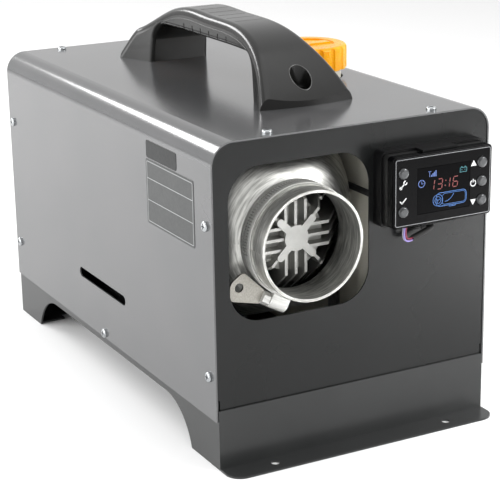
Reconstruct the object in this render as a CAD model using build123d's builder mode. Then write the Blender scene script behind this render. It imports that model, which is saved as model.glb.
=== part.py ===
from build123d import *
import os
from math import cos, hypot, radians, sin

os.makedirs("parts", exist_ok=True)

# Portable diesel air heater in a sheet-metal case. Millimetres. +X is to the
# right seen from the front, +Y to the back, +Z up. The origin lies on the floor
# under the middle of the whole heater.

# ---- Driving dimensions: case ---------------------------------------------
case_width = 230.0
case_length = 400.0
case_height = 240.0
sheet = 1.2
base_sheet = 1.5
sheet_gap = 0.3
cover_bend = 17.0
cover_edge_z = 37.0
panel_recess = 0.8
panel_flange = 20.0
base_plate_z = 33.0
base_wall_z = 45.5
base_side_z = 52.0
flange_side_gap = 1.0
foot_length = 46.0
arch_radius = 45.0
arch_height = 31.0
arch_turn = 48.0
front_lip = 20.5
front_lip_corner = 12.0
rear_lip = 33.0
rear_lip_ear = 11.0
rear_lip_ear_width = 24.0
floor_hole_r = 3.4
floor_hole_spacing = 148.0
floor_hole_inset = 10.5
slot_length = 93.0
slot_height = 8.0
slot_depth = 202.0
slot_z = 81.2

# ---- Driving dimensions: fasteners ----------------------------------------
screw_head_r = 3.8
screw_head_h = 2.3
screw_shank_r = 1.95
screw_length = 5.5
screw_dome = 0.6
recess_span = 1.1
recess_width = 0.24
recess_depth = 0.5
tapped_r = 2.05
clearance_r = 2.3
thread_gap = 0.1
press_gap = 0.05
cut_overrun = 1.0
side_screw_inset = 9.7
side_screw_drop = 60.0
side_screw_low_z = 69.0
side_screw_mid_z = 41.3
top_screw_spacing = 136.0
top_screw_x = 2.0
hex_nut_flat = 8.0
hex_nut_h = 4.0

# ---- Driving dimensions: handle -------------------------------------------
handle_x = 1.5
handle_depth = 198.5
handle_span = 262.0
handle_rise = 51.5
handle_clear = 33.5
handle_toe_width = 80.0
handle_leg_width = 53.0
handle_grip_width = 41.0
handle_leg = 39.5
handle_toe_h = 4.5
handle_toe_bow = 4.5
handle_leg_lean = 5.5
handle_corner = 17.0
handle_bore_r = 8.0
handle_bore_floor = 7.0
handle_bore_inset = 13.5
handle_screw_r = 2.4
handle_head_r = 4.8
handle_head_h = 3.2
handle_screw_spare = 0.8
handle_top_round = 6.0
handle_under_round = 4.0
handle_toe_slope = 0.72
handle_shoulder_at = 0.82
handle_shoulder_rise = 0.55
handle_crown_at = 0.50
handle_crown_rise = 0.92
handle_notches = 6
handle_notch_pitch = 15.0
handle_notch_depth = 1.5
handle_notch_width = 1.4
handle_notch_height = 13.0

# ---- Driving dimensions: hot-air outlet and window ------------------------
outlet_inset = 69.0
outlet_drop = 78.0
outlet_stand = 19.0
neck_r = 40.4
neck_seat = 16.0
neck_step = 0.6
shell_wall = 2.0
neck_length = 30.0
shell_width = 125.0
shell_height = 130.0
shell_corner = 35.0
shoulder_length = 37.0
heater_back_gap = 29.0
tail_length = 24.0
mouth_length = 26.0
mouth_r = 52.0
shoulder_knee = 0.35
shoulder_fullness = 0.46
shoulder_pinch = 2.0
shoulder_corner = 4.0
round_overlap = 4.0
round_tuck = 0.4
seam_rib = 3.0
seam_rib_h = 5.0
port_width = 46.0
exhaust_port_length = 30.0
exhaust_inset = 25.0
intake_port_length = 22.0
intake_inset = 6.5
intake_bore_r = 8.0
window_width = 113.7
window_height = 112.7
window_corner = 25.0
window_shift_x = 0.85
window_shift_z = 1.85

# ---- Driving dimensions: heat exchanger -----------------------------------
hub_set_back = 23.5
core_r = 26.0
core_wall = 4.0
fin_pitch = 8.0
fin_thickness = 2.2
fin_flat_r = 27.0
fin_clear = 3.5
fin_corner_share = 0.79
fins_beside = 3
hub_fins = 1
arm_reach = 21.0
arm_width = 5.6
hub_r = 9.5
fin_set_back = 1.5
core_set_back = 10.0
outer_fin_back = 6.0
fin_rake = 1.25
bare_core = 32.0
flange_r = 50.0
flange_thickness = 6.0
chamber_front = 25.0

# ---- Driving dimensions: burner and blower --------------------------------
burner_gasket_thickness = 1.5
burner_r = 19.0
burner_sheet = 2.0
burner_length = 130.0
burner_rim_inset = 1.0
burner_throat_r = 11.4
plug_r = 4.0
plug_tip_r = 2.0
plug_head = 6.0
plug_clear = 1.0
plug_hex_rim = 2.0
plug_terminal_rim = 0.5
sensor_r = 6.0
sensor_gap = 0.2
sensor_round = 1.5
blower_plate = 4.0
blower_wall = 5.0
impeller_room = 18.0
impeller_clear = 2.5
impeller_front_gap = 2.5
impeller_back_gap = 1.5
impeller_plate = 2.0
impeller_hub_r = 7.2
impeller_vanes = 12
vane_front_gap = 4.0
vane_end_gap = 2.0
vane_at = 28.9
vane_length = 21.25
vane_thickness = 1.4
vane_lean = 32.0
blower_back = 5.0
unit_width = 68.0
unit_length = 38.0
unit_height = 18.0
unit_corner = 4.0
unit_gap = 1.0
cup_wall = 3.0
cup_length = 34.0
motor_r = 26.0
motor_length = 38.0
motor_round = 2.0
bearing_r = 8.0
bearing_width = 5.0
shaft_r = 3.0
shaft_clear = 1.5
shaft_nose = 1.5
running_gap = 0.04
fan_gap = 4.0
fan_set_in = 22.5
fan_width = 20.0
fan_nose = 3.0
fan_hub_r = 14.0
fan_hub_round = 3.0
fan_tip_gap = 2.0
fan_blades = 9
fan_pitch = 40.0
blade_root = 2.0
blade_width = 19.0
blade_taper = 84.0
blade_thickness = 2.0

# ---- Driving dimensions: hose clamp ---------------------------------------
band_gap = 0.3
band_sheet = 0.7
band_width = 13.0
band_set_back = 23.0
clamp_axis_r = 47.8
clamp_angle = 241.5
clamp_screw_r = 3.95
clamp_bore_r = 4.0
clamp_wall = 1.2
clamp_head_r = 5.0
clamp_head_length = 5.7
clamp_housing_start = -2.0
clamp_housing_length = 15.0
clamp_screw_end = 1.0
band_slots = 40
band_slot_start = 70.0
band_slot_pitch = 3.0
band_slot_width = 1.0
band_slot_length = 7.8
wing_sheet = 1.6
wing_foot = 1.2
wing_root = 5.2
wing_hole_at = 20.0
wing_reach = 27.0
wing_hole_r = 3.4
wing_lobe_rise = 6.6
wing_lobe_r = 4.0

# ---- Driving dimensions: fuel side ----------------------------------------
tank_heater_gap = 7.5
tank_back_gap = 25.0
tank_headroom = 6.3
tank_wall = 2.5
tank_corner = 14.0
tank_side_gap = 5.8
tank_front = 23.0
strap_width = 16.0
strap_sheet = 1.0
strap_foot = 12.0
strap_depths = (70.0, 320.0)
neck_inset = 5.5
neck_depth = 168.0
filler_r = 27.5
filler_wall = 3.0
filler_hole_gap = 1.5
filler_rise = 21.5
cap_r = 32.0
cap_height = 19.0
cap_wall = 3.0
cap_gap = 0.6
cap_flutes = 18
cap_edge_round = 3.0
cap_sunk_r = 21.8
cap_sunk_depth = 1.2
cap_bar_length = 38.4
cap_bar_width = 9.0
flute_r = 4.0
flute_cut = 1.3
seal_thickness = 2.0
seal_inset = 0.2
seal_overhang = 1.5
pickup_inset = 21.0
pickup_hole_r = 4.0
pickup_collar = 3.0
pickup_hex_rim = 2.5
barb_r = 2.2
barb_length = 8.0
hose_run = 2.0
hose_bend = 9.0
hose_rise_run = 16.0
hose_r = 3.2
hose_bore_r = 2.25
filter_r = 11.0
filter_length = 34.0
filter_round = 2.0
pump_shift = 22.0
pump_front = 62.0
pump_length = 70.0
pump_r = 14.0
pump_round = 2.5
clip_width = 14.0
clip_sheet = 3.0
clip_foot = 13.0

# ---- Driving dimensions: controller ---------------------------------------
controller_gap = 3.55
controller_drop = 49.2
controller_width = 85.0
controller_height = 52.5
holder_rim = 1.75
holder_wall = 1.4
holder_gap = 2.7
holder_side = 1.6
holder_corner = 4.0
holder_depth = 9.8
holder_screw_x = 24.0
tab_width = 30.0
tab_reach = 3.0
controller_back_depth = 11.6
case_wall = 1.6
post_inset_x = 9.0
post_inset_z = 7.0
post_r = 2.5
board_set_back = 5.2
board_sheet = 1.6
board_gap = 0.5
module_margin = 0.5
module_gap = 0.4
window_set_back = 0.15
switch_size = 6.0
switch_height = 3.5
plunger_r = 1.7
plunger_gap = 0.2
bezel_depth = 7.8
bezel_wall = 2.0
fit_gap = 0.3
button_r = 4.3
button_dome = 1.9
button_travel = 0.8
button_flange = 1.0
button_flange_rim = 0.9
button_stem = 3.1
button_stem_r = 1.8
button_drop = 14.0
button_rise_left = 14.3
display_shift_x = 0.4
display_shift_z = -0.8
bezel_corner = 3.0
bezel_round = 1.6
grommet_shift = 3.0
grommet_drop = 8.0
grommet_hole_r = 4.0
grommet_lip = 1.0
grommet_rim = 1.8
lead_gap = 0.1
lead_join_gap = 1.0
lead_r = 2.2
lead_bend = 5.0
lead_drop = 6.2
lead_entry_shift = 20.2
lead_end_shift = 5.0
wire_gap_width = 10.0
wire_at = 7.0
wire_hole_r = 2.2
core_pitch = 1.6
core_wire_r = 0.65
wire_loop = 6.0
wire_loop_bend = 3.2
wire_bulge = 2.6
left_button_x = 34.2
right_button_x = 33.2
display_width = 45.6
display_height = 34.0

# ---- Driving dimensions: mounting, pipes, rear ----------------------------
bracket_sheet = 2.0
bracket_half = 46.0
bracket_lead = 10.0
bracket_trail = 22.0
bracket_foot = 10.5
bracket_screw_inset = 14.0
gasket_thickness = 2.0
foot_plate = 7.0
foot_width = 76.0
foot_margin = 25.0
foot_corner = 8.0
stud_r = 3.0
stud_inset = 7.0
stud_length = 10.0
stud_nut_flat = 10.0
stud_nut_h = 5.0
exhaust_r = 12.0
intake_r = 12.5
pipe_wall = 1.2
pipe_end_z = 12.0
pipe_seat = 18.0
pipe_step = 0.6
port_gap = 1.0
port_hole_gap = 4.0
grille_r = 54.0
grille_thickness = 3.0
grille_rings = 5
grille_ring_pitch = 7.2
grille_hub_r = 6.0
grille_bar = 2.2
grille_spoke = 2.86
grille_overlap = 1.0
grille_screw_inset = 3.4
inlet_rim = 7.0
gland_reach = 9.0
gland_x = 62.0
gland_z = 78.0
gland_r = 7.0
gland_bore_r = 3.5
gland_nut = 4.0
gland_nut_rim = 2.0
gland_hex_rim = 2.5
gland_round = 2.0
wire_r = 2.4
wire_bend = 6.0
wire_lift = 21.0
wire_spread = 12.0
wire_lane_gap = 2.0
wire_start_run = 0.2
wire_out_inset = 15.0

# ---- Worked-out places ----------------------------------------------------
controller_reach = holder_wall + holder_gap + controller_back_depth + bezel_depth
front_stand = max(
    controller_reach + button_dome - panel_recess,
    front_lip + base_sheet - panel_recess,
    outlet_stand,
)
rear_stand = max(gland_reach, grille_thickness + screw_head_h) - panel_recess
front_y = -(front_stand + case_length + rear_stand) / 2 + front_stand
back_y = front_y + case_length
cover_inner_x = case_width / 2 - sheet
cover_inner_z = case_height - sheet
nest_x = cover_inner_x - sheet_gap
nest_z = cover_inner_z - sheet_gap
nest_bend = cover_bend - sheet - sheet_gap
panel_face_y = front_y + panel_recess
rear_face_y = back_y - panel_recess
base_front_y = panel_face_y - base_sheet
base_back_y = rear_face_y + base_sheet
plate_top_z = base_plate_z + base_sheet
flange_low_z = base_side_z + flange_side_gap
side_screw_high_z = case_height - side_screw_drop
outlet_x = outlet_inset - case_width / 2
outlet_z = case_height - outlet_drop
shell_low_z = outlet_z - shell_height / 2
window_x = outlet_x + window_shift_x
window_z = outlet_z + window_shift_z
controller_x = window_x + window_width / 2 + controller_gap + controller_width / 2 + holder_rim
controller_z = case_height - controller_drop
tank_right_x = cover_inner_x - tank_side_gap
tank_left_x = outlet_x + shell_width / 2 + tank_heater_gap
tank_width = tank_right_x - tank_left_x
tank_length = case_length - tank_front - tank_back_gap
tank_height = cover_inner_z - tank_headroom - plate_top_z
neck_x = tank_left_x + filler_r + neck_inset

# Depths behind the case's front edge, from the heater's outlet to its middle
lip_depth = -outlet_stand
neck_seat_end = lip_depth + neck_seat
shoulder_depth = lip_depth + neck_length
body_depth = shoulder_depth + shoulder_length
hub_depth = lip_depth + hub_set_back
fin_depth = hub_depth + fin_set_back
core_depth = hub_depth + core_set_back
# The same from the heater's open back end forwards
end_depth = case_length - heater_back_gap
mouth_depth = end_depth - mouth_length
tail_depth = mouth_depth - tail_length
fan_depth = end_depth - fan_set_in - fan_width
motor_end = fan_depth - fan_gap
housing_end = motor_end - motor_length
chamber_end = housing_end - blower_back
housing_depth = chamber_end - impeller_room
cover_plate_depth = housing_depth - blower_plate
burner_flange_depth = cover_plate_depth - burner_sheet
flange_end = burner_flange_depth - burner_gasket_thickness
flange_depth = flange_end - flange_thickness
fin_end = flange_depth - bare_core
exhaust_depth = flange_depth - exhaust_inset
intake_depth = chamber_end - intake_inset
foot_front = exhaust_depth - foot_margin
foot_back = intake_depth + foot_margin
bracket_front = foot_front - bracket_lead
bracket_back = foot_back + bracket_trail


def deep(distance):
    """Y of a place this far behind the case's front edge."""
    return front_y + distance


def ahead(distance):
    """Y of a place this far in front of the front panel's face."""
    return panel_face_y - distance


def upright(y):
    """Upright sketch plane at y: its X is X, its Y is Z, and it faces the front."""
    return Plane.XZ.offset(-y)


def arch_profile(width, low, high, bend):
    """Upright outline with a flat foot and two rounded top corners."""
    half = width / 2
    with BuildSketch() as profile:
        with BuildLine():
            Polyline((-half, high - bend), (-half, low), (half, low), (half, high - bend))
            RadiusArc((half, high - bend), (half - bend, high), -bend)
            Line((half - bend, high), (bend - half, high))
            RadiusArc((bend - half, high), (-half, high - bend), -bend)
        make_face()
    return profile.sketch


def pan_screw(head_r, head_h, shank_r, length):
    """Cross-recessed pan-head screw: head seated on XY, shank pointing down."""
    with BuildPart() as screw:
        Cylinder(head_r, head_h, align=(Align.CENTER, Align.CENTER, Align.MIN))
        fillet(screw.edges().group_by(Axis.Z)[-1], head_h * screw_dome)
        with BuildSketch(Plane.XY.offset(head_h)):
            Rectangle(head_r * recess_span, head_r * recess_width)
            Rectangle(head_r * recess_width, head_r * recess_span)
        extrude(amount=-head_h * recess_depth, mode=Mode.SUBTRACT)
        Cylinder(shank_r, length, align=(Align.CENTER, Align.CENTER, Align.MAX))
    return screw.part


def hex_nut(flat, height, bore_r):
    """Hexagon nut standing on XY."""
    with BuildPart() as nut:
        with BuildSketch():
            RegularPolygon(flat / 2, 6, major_radius=False)
            Circle(bore_r, mode=Mode.SUBTRACT)
        extrude(amount=height)
    return nut.part


def pipe_along(points, radii, tube_r, bore_r=0.0):
    """Round tube along straight runs joined by tangent arcs."""
    with BuildPart() as tube:
        with BuildLine() as route:
            FilletPolyline(*points, radius=radii)
        start = route.line @ 0
        with BuildSketch(Plane(origin=start, z_dir=route.line % 0)):
            Circle(tube_r)
            if bore_r:
                Circle(bore_r, mode=Mode.SUBTRACT)
        sweep(path=route.line)
    return tube.part


def save(builder, name):
    """Label one finished sub-part and write it to its own file."""
    builder.part.label = name
    export_step(builder.part, f"parts/{name}.step")


# Screw places on the case, as (y, z) on both sides and (x, y) on the top
side_spots = [
    (deep(side_screw_inset), side_screw_high_z),
    (deep(side_screw_inset), side_screw_low_z),
    (deep(case_length - side_screw_inset), side_screw_high_z),
    (deep(case_length - side_screw_inset), side_screw_low_z),
]
mid_spot = (deep(case_length / 2), side_screw_mid_z)
top_spots = [
    (top_screw_x + side * top_screw_spacing / 2, y)
    for side in (-1, 1)
    for y in (deep(side_screw_inset), deep(case_length - side_screw_inset))
]
handle_y = deep(handle_depth)
handle_hole_reach = handle_span / 2 - handle_bore_inset
handle_spots = [
    (handle_x, handle_y - handle_hole_reach),
    (handle_x, handle_y + handle_hole_reach),
]
neck_y = deep(neck_depth)

# ---- Cover: one sheet bent over both sides --------------------------------
with BuildPart() as cover:
    with BuildSketch(upright(front_y)):
        add(arch_profile(case_width, cover_edge_z, case_height, cover_bend))
        add(
            arch_profile(2 * cover_inner_x, cover_edge_z, cover_inner_z, cover_bend - sheet),
            mode=Mode.SUBTRACT,
        )
    extrude(amount=-case_length)
    with BuildSketch(Plane.YZ.offset(-case_width / 2)):
        with Locations((deep(slot_depth), slot_z)):
            SlotOverall(slot_length, slot_height)
        with Locations(*side_spots, mid_spot):
            Circle(clearance_r)
    extrude(amount=case_width, mode=Mode.SUBTRACT)
    with BuildSketch(Plane.XY.offset(case_height)):
        with Locations(*top_spots):
            Circle(clearance_r)
        with Locations(*handle_spots):
            Circle(handle_screw_r + sheet_gap)
        with Locations((neck_x, neck_y)):
            Circle(filler_r + filler_hole_gap)
    extrude(amount=-cover_bend, mode=Mode.SUBTRACT)
save(cover, "cover")


# ---- Front and rear panels: plates with a flange nested in the cover ------
def panel_shell(face_y, inward):
    """Flanged end panel: outer face at face_y, flange going inward (+1 or -1 in Y)."""
    tongue_half = nest_x - base_sheet - sheet_gap
    with BuildPart() as panel:
        with BuildSketch(upright(face_y)):
            add(arch_profile(2 * nest_x, flange_low_z, nest_z, nest_bend))
            with Locations((0, (plate_top_z + sheet_gap + flange_low_z) / 2)):
                Rectangle(2 * tongue_half, flange_low_z - plate_top_z - sheet_gap)
        extrude(amount=-inward * sheet)
        with BuildSketch(upright(face_y)):
            add(arch_profile(2 * nest_x, flange_low_z, nest_z, nest_bend))
            add(
                arch_profile(2 * (nest_x - sheet), 0, nest_z - sheet, nest_bend - sheet),
                mode=Mode.SUBTRACT,
            )
        extrude(amount=-inward * panel_flange)
        with BuildSketch(Plane.YZ.offset(-case_width / 2)):
            with Locations(*side_spots):
                Circle(tapped_r)
        extrude(amount=case_width, mode=Mode.SUBTRACT)
        with BuildSketch(Plane.XY.offset(case_height)):
            with Locations(*top_spots):
                Circle(tapped_r)
        extrude(amount=-cover_bend, mode=Mode.SUBTRACT)
    return panel.part


grommet_x = controller_x + grommet_shift
grommet_z = controller_z - controller_height / 2 - grommet_drop
with BuildPart() as front_panel:
    add(panel_shell(panel_face_y, 1))
    with BuildSketch(upright(panel_face_y)):
        with Locations((window_x, window_z)):
            RectangleRounded(window_width, window_height, window_corner)
        with Locations((grommet_x, grommet_z)):
            Circle(grommet_hole_r)
        with Locations(
            (controller_x - holder_screw_x, controller_z),
            (controller_x + holder_screw_x, controller_z),
        ):
            Circle(tapped_r)
    extrude(amount=-2 * sheet, mode=Mode.SUBTRACT)
save(front_panel, "front_panel")

inlet_hole_r = grille_r - inlet_rim
grille_screw_r = grille_r - grille_screw_inset
grille_spots = [
    (
        outlet_x + grille_screw_r * cos(radians(turn)),
        outlet_z + grille_screw_r * sin(radians(turn)),
    )
    for turn in (45, 135, 225, 315)
]
with BuildPart() as rear_panel:
    add(panel_shell(rear_face_y, -1))
    with BuildSketch(upright(rear_face_y)):
        with Locations((outlet_x, outlet_z)):
            Circle(inlet_hole_r)
        with Locations(*grille_spots):
            Circle(tapped_r)
        with Locations((gland_x, gland_z)):
            Circle(gland_r + fit_gap)
    extrude(amount=2 * sheet, mode=Mode.SUBTRACT)
save(rear_panel, "rear_panel")

# ---- Base: folded tray that is also the four feet -------------------------
tray_length = base_back_y - base_front_y
arch_centre_z = arch_height - arch_radius
arch_run = (arch_radius**2 - arch_centre_z**2) ** 0.5
arch_start = foot_length + arch_run
bracket_screws = [
    (outlet_x + side * (bracket_half + bracket_foot / 2), deep(depth))
    for side in (-1, 1)
    for depth in (bracket_front + bracket_screw_inset, bracket_back - bracket_screw_inset)
]
strap_spots = [
    (tank_left_x - strap_sheet - strap_foot / 2, deep(depth)) for depth in strap_depths
]
pump_x = outlet_x - pump_shift
pump_z = (plate_top_z + shell_low_z) / 2
clip_spot = (pump_x + pump_r + clip_sheet + clip_foot / 2, deep(pump_front + pump_length / 2))
plate_screw_spots = bracket_screws + strap_spots + [clip_spot]
floor_hole_y = base_front_y - front_lip + floor_hole_inset
floor_holes = [(side * floor_hole_spacing / 2, floor_hole_y) for side in (-1, 1)]


def foot_side_profile():
    """Side wall outline, seen along X: feet at both ends joined by low arches."""
    near = base_front_y
    far = base_back_y
    turn = radians(arch_turn)
    bulge_y = arch_radius * sin(turn)
    bulge_z = arch_centre_z + arch_radius * cos(turn)
    with BuildSketch() as profile:
        with BuildLine():
            Line((near, 0), (near + foot_length, 0))
            ThreePointArc(
                (near + foot_length, 0),
                (near + arch_start - bulge_y, bulge_z),
                (near + arch_start, arch_height),
            )
            Line((near + arch_start, arch_height), (far - arch_start, arch_height))
            ThreePointArc(
                (far - arch_start, arch_height),
                (far - arch_start + bulge_y, bulge_z),
                (far - foot_length, 0),
            )
            Polyline(
                (far - foot_length, 0), (far, 0), (far, base_side_z),
                (near, base_side_z), (near, 0),
            )
        make_face()
    return profile.sketch


with BuildPart() as base_tray:
    for side in (-1, 1):
        with BuildSketch(Plane.YZ.offset(side * nest_x)):
            add(foot_side_profile())
        extrude(amount=-side * base_sheet)
    # The side walls stop level with the end walls at the two ends
    for low_y, high_y in ((base_front_y, panel_face_y + sheet), (rear_face_y - sheet, base_back_y)):
        with BuildSketch(Plane.XY.offset(base_wall_z)):
            with Locations((0, (low_y + high_y) / 2)):
                Rectangle(case_width, high_y - low_y)
        extrude(amount=base_side_z, mode=Mode.SUBTRACT)
    with BuildSketch(Plane.XY.offset(base_plate_z)):
        with Locations((0, (base_front_y + base_back_y) / 2)):
            Rectangle(2 * nest_x, tray_length)
        with Locations((outlet_x, deep(exhaust_depth))):
            Circle(exhaust_r + port_hole_gap, mode=Mode.SUBTRACT)
        with Locations((outlet_x, deep(intake_depth))):
            Circle(intake_r + port_hole_gap, mode=Mode.SUBTRACT)
        with Locations(*plate_screw_spots):
            Circle(tapped_r, mode=Mode.SUBTRACT)
    extrude(amount=base_sheet)
    for wall_y in (base_front_y, base_back_y - base_sheet):
        with BuildSketch(Plane.XY):
            with Locations((0, wall_y + base_sheet / 2)):
                Rectangle(2 * nest_x, base_sheet)
        extrude(amount=base_wall_z)
    # Lip turned out along the floor in front, with two fixing holes
    with BuildSketch(Plane.XY) as lip:
        with Locations((0, base_front_y - front_lip / 2 + base_sheet / 2)):
            Rectangle(2 * nest_x, front_lip + base_sheet)
        fillet(lip.vertices().group_by(Axis.Y)[0], front_lip_corner)
        with Locations(*floor_holes):
            Circle(floor_hole_r, mode=Mode.SUBTRACT)
    extrude(amount=base_sheet)
    # Lip turned in along the floor at the back, with an ear at each end
    with BuildSketch(Plane.XY):
        with Locations((0, base_back_y - rear_lip / 2)):
            Rectangle(2 * nest_x, rear_lip)
        for side in (-1, 1):
            with Locations((side * (nest_x - rear_lip_ear_width / 2), base_back_y - rear_lip)):
                Rectangle(rear_lip_ear_width, 2 * rear_lip_ear)
    extrude(amount=base_sheet)
    # Tapped holes for the two middle cover screws
    with BuildSketch(Plane.YZ.offset(-case_width / 2)):
        with Locations(mid_spot):
            Circle(tapped_r)
    extrude(amount=case_width, mode=Mode.SUBTRACT)
save(base_tray, "base_tray")

# ---- Screws of the case ---------------------------------------------------
case_screw = pan_screw(screw_head_r, screw_head_h, screw_shank_r, screw_length)
with BuildPart() as cover_screws:
    for side in (-1, 1):
        for spot_y, spot_z in side_spots + [mid_spot]:
            with Locations(Plane((side * case_width / 2, spot_y, spot_z), z_dir=(side, 0, 0))):
                add(case_screw)
    for spot_x, spot_y in top_spots:
        with Locations((spot_x, spot_y, case_height)):
            add(case_screw)
save(cover_screws, "cover_screws")

# ---- Handle: one moulded grip on two flared feet --------------------------
with BuildPart() as handle:
    half = handle_span / 2
    leg = half - handle_leg
    shoulder_z = case_height + handle_rise * handle_shoulder_rise
    crown_z = case_height + handle_rise * handle_crown_rise
    with BuildSketch(Plane.YZ.offset(handle_x)):
        with BuildLine():
            Line((handle_y - leg, case_height), (handle_y - half, case_height))
            Line(
                (handle_y - half, case_height),
                (handle_y - half, case_height + handle_toe_h),
            )
            Spline(
                (handle_y - half, case_height + handle_toe_h),
                (handle_y - half * handle_shoulder_at, shoulder_z),
                (handle_y - half * handle_crown_at, crown_z),
                (handle_y, case_height + handle_rise),
                (handle_y + half * handle_crown_at, crown_z),
                (handle_y + half * handle_shoulder_at, shoulder_z),
                (handle_y + half, case_height + handle_toe_h),
                tangents=((handle_toe_slope, 1.0), (handle_toe_slope, -1.0)),
            )
            Line(
                (handle_y + half, case_height + handle_toe_h),
                (handle_y + half, case_height),
            )
            Line((handle_y + half, case_height), (handle_y + leg, case_height))
            FilletPolyline(
                (handle_y + leg, case_height),
                (handle_y + leg - handle_leg_lean, case_height + handle_clear),
                (handle_y - leg + handle_leg_lean, case_height + handle_clear),
                (handle_y - leg, case_height),
                radius=handle_corner,
            )
        make_face()
    extrude(amount=handle_toe_width, both=True)
    with BuildSketch(Plane.XY.offset(case_height)):
        with BuildLine():
            ThreePointArc(
                (handle_x - handle_toe_width / 2, handle_y - half + handle_toe_bow),
                (handle_x, handle_y - half),
                (handle_x + handle_toe_width / 2, handle_y - half + handle_toe_bow),
            )
            Spline(
                (handle_x + handle_toe_width / 2, handle_y - half + handle_toe_bow),
                (handle_x + handle_leg_width / 2, handle_y - leg),
                (handle_x + handle_grip_width / 2, handle_y),
                (handle_x + handle_leg_width / 2, handle_y + leg),
                (handle_x + handle_toe_width / 2, handle_y + half - handle_toe_bow),
            )
            ThreePointArc(
                (handle_x + handle_toe_width / 2, handle_y + half - handle_toe_bow),
                (handle_x, handle_y + half),
                (handle_x - handle_toe_width / 2, handle_y + half - handle_toe_bow),
            )
            Spline(
                (handle_x - handle_toe_width / 2, handle_y + half - handle_toe_bow),
                (handle_x - handle_leg_width / 2, handle_y + leg),
                (handle_x - handle_grip_width / 2, handle_y),
                (handle_x - handle_leg_width / 2, handle_y - leg),
                (handle_x - handle_toe_width / 2, handle_y - half + handle_toe_bow),
            )
        make_face()
    extrude(amount=2 * handle_rise, mode=Mode.INTERSECT)
    rim_edges = handle.edges().filter_by(lambda e: e.length > handle_span * 0.9)
    side_rims = rim_edges.filter_by(lambda e: abs(e.center().X - handle_x) > handle_grip_width / 4)
    fillet(side_rims, handle_top_round)
    grip_low_z = case_height + handle_clear
    under_edges = handle.edges().filter_by(
        lambda e: case_height + handle_toe_h < e.center().Z < grip_low_z + cut_overrun
        and abs(e.center().X - handle_x) > handle_grip_width / 4
        and abs(e.center().Y - handle_y) < leg
        and e.length > handle_corner / 2
    )
    fillet(under_edges, handle_under_round)
    # Screw recess in each foot, open upwards, with the screw hole below it
    with BuildSketch(Plane.XY.offset(case_height + handle_bore_floor)):
        with Locations(*handle_spots):
            Circle(handle_bore_r)
    extrude(amount=handle_rise, mode=Mode.SUBTRACT)
    with BuildSketch(Plane.XY.offset(case_height)):
        with Locations(*handle_spots):
            Circle(handle_screw_r + sheet_gap)
    extrude(amount=handle_bore_floor, mode=Mode.SUBTRACT)
    # Finger notches along both lower sides of the grip
    for step in range(handle_notches):
        notch_y = handle_y + (step - (handle_notches - 1) / 2) * handle_notch_pitch
        for side in (-1, 1):
            with Locations((handle_x + side * handle_grip_width / 2, notch_y, grip_low_z)):
                Box(
                    2 * handle_notch_depth, handle_notch_width, handle_notch_height,
                    mode=Mode.SUBTRACT,
                )
save(handle, "handle")

handle_screw = pan_screw(handle_head_r, handle_head_h, handle_screw_r,
                         handle_bore_floor + sheet + hex_nut_h + handle_screw_spare)
with BuildPart() as handle_screws:
    for spot_x, spot_y in handle_spots:
        with Locations((spot_x, spot_y, case_height + handle_bore_floor)):
            add(handle_screw)
save(handle_screws, "handle_screws")

handle_nut = hex_nut(hex_nut_flat, hex_nut_h, handle_screw_r + thread_gap)
with BuildPart() as handle_nuts:
    for spot_x, spot_y in handle_spots:
        with Locations((spot_x, spot_y, cover_inner_z - hex_nut_h)):
            add(handle_nut)
save(handle_nuts, "handle_nuts")

# ---- Fuel tank: blow-moulded, with its filler neck through the cover ------
tank_x = (tank_left_x + tank_right_x) / 2
tank_y = deep(tank_front + tank_length / 2)
tank_top_z = plate_top_z + tank_height
filler_top_z = case_height + filler_rise
pickup_y = deep(tank_front + pickup_inset)
pickup_z = pump_z
with BuildPart() as tank_space:
    with Locations((tank_x, tank_y, plate_top_z + tank_wall)):
        Box(
            tank_width - 2 * tank_wall,
            tank_length - 2 * tank_wall,
            tank_height - 2 * tank_wall,
            align=(Align.CENTER, Align.CENTER, Align.MIN),
        )
    fillet(tank_space.edges(), tank_corner - tank_wall)

with BuildPart() as fuel_tank:
    with Locations((tank_x, tank_y, plate_top_z)):
        Box(tank_width, tank_length, tank_height, align=(Align.CENTER, Align.CENTER, Align.MIN))
    fillet(fuel_tank.edges(), tank_corner)
    with BuildSketch(Plane.XY.offset(tank_top_z - tank_corner)):
        with Locations((neck_x, neck_y)):
            Circle(filler_r)
    extrude(amount=filler_top_z - tank_top_z + tank_corner)
    add(tank_space.part, mode=Mode.SUBTRACT)
    with BuildSketch(Plane.XY.offset(filler_top_z)):
        with Locations((neck_x, neck_y)):
            Circle(filler_r - filler_wall)
    extrude(amount=-(filler_top_z - tank_top_z + 2 * tank_wall), mode=Mode.SUBTRACT)
    with BuildSketch(Plane.YZ.offset(tank_left_x)):
        with Locations((pickup_y, pickup_z)):
            Circle(pickup_hole_r)
    extrude(amount=2 * tank_wall, mode=Mode.SUBTRACT)
save(fuel_tank, "fuel_tank")

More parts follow.
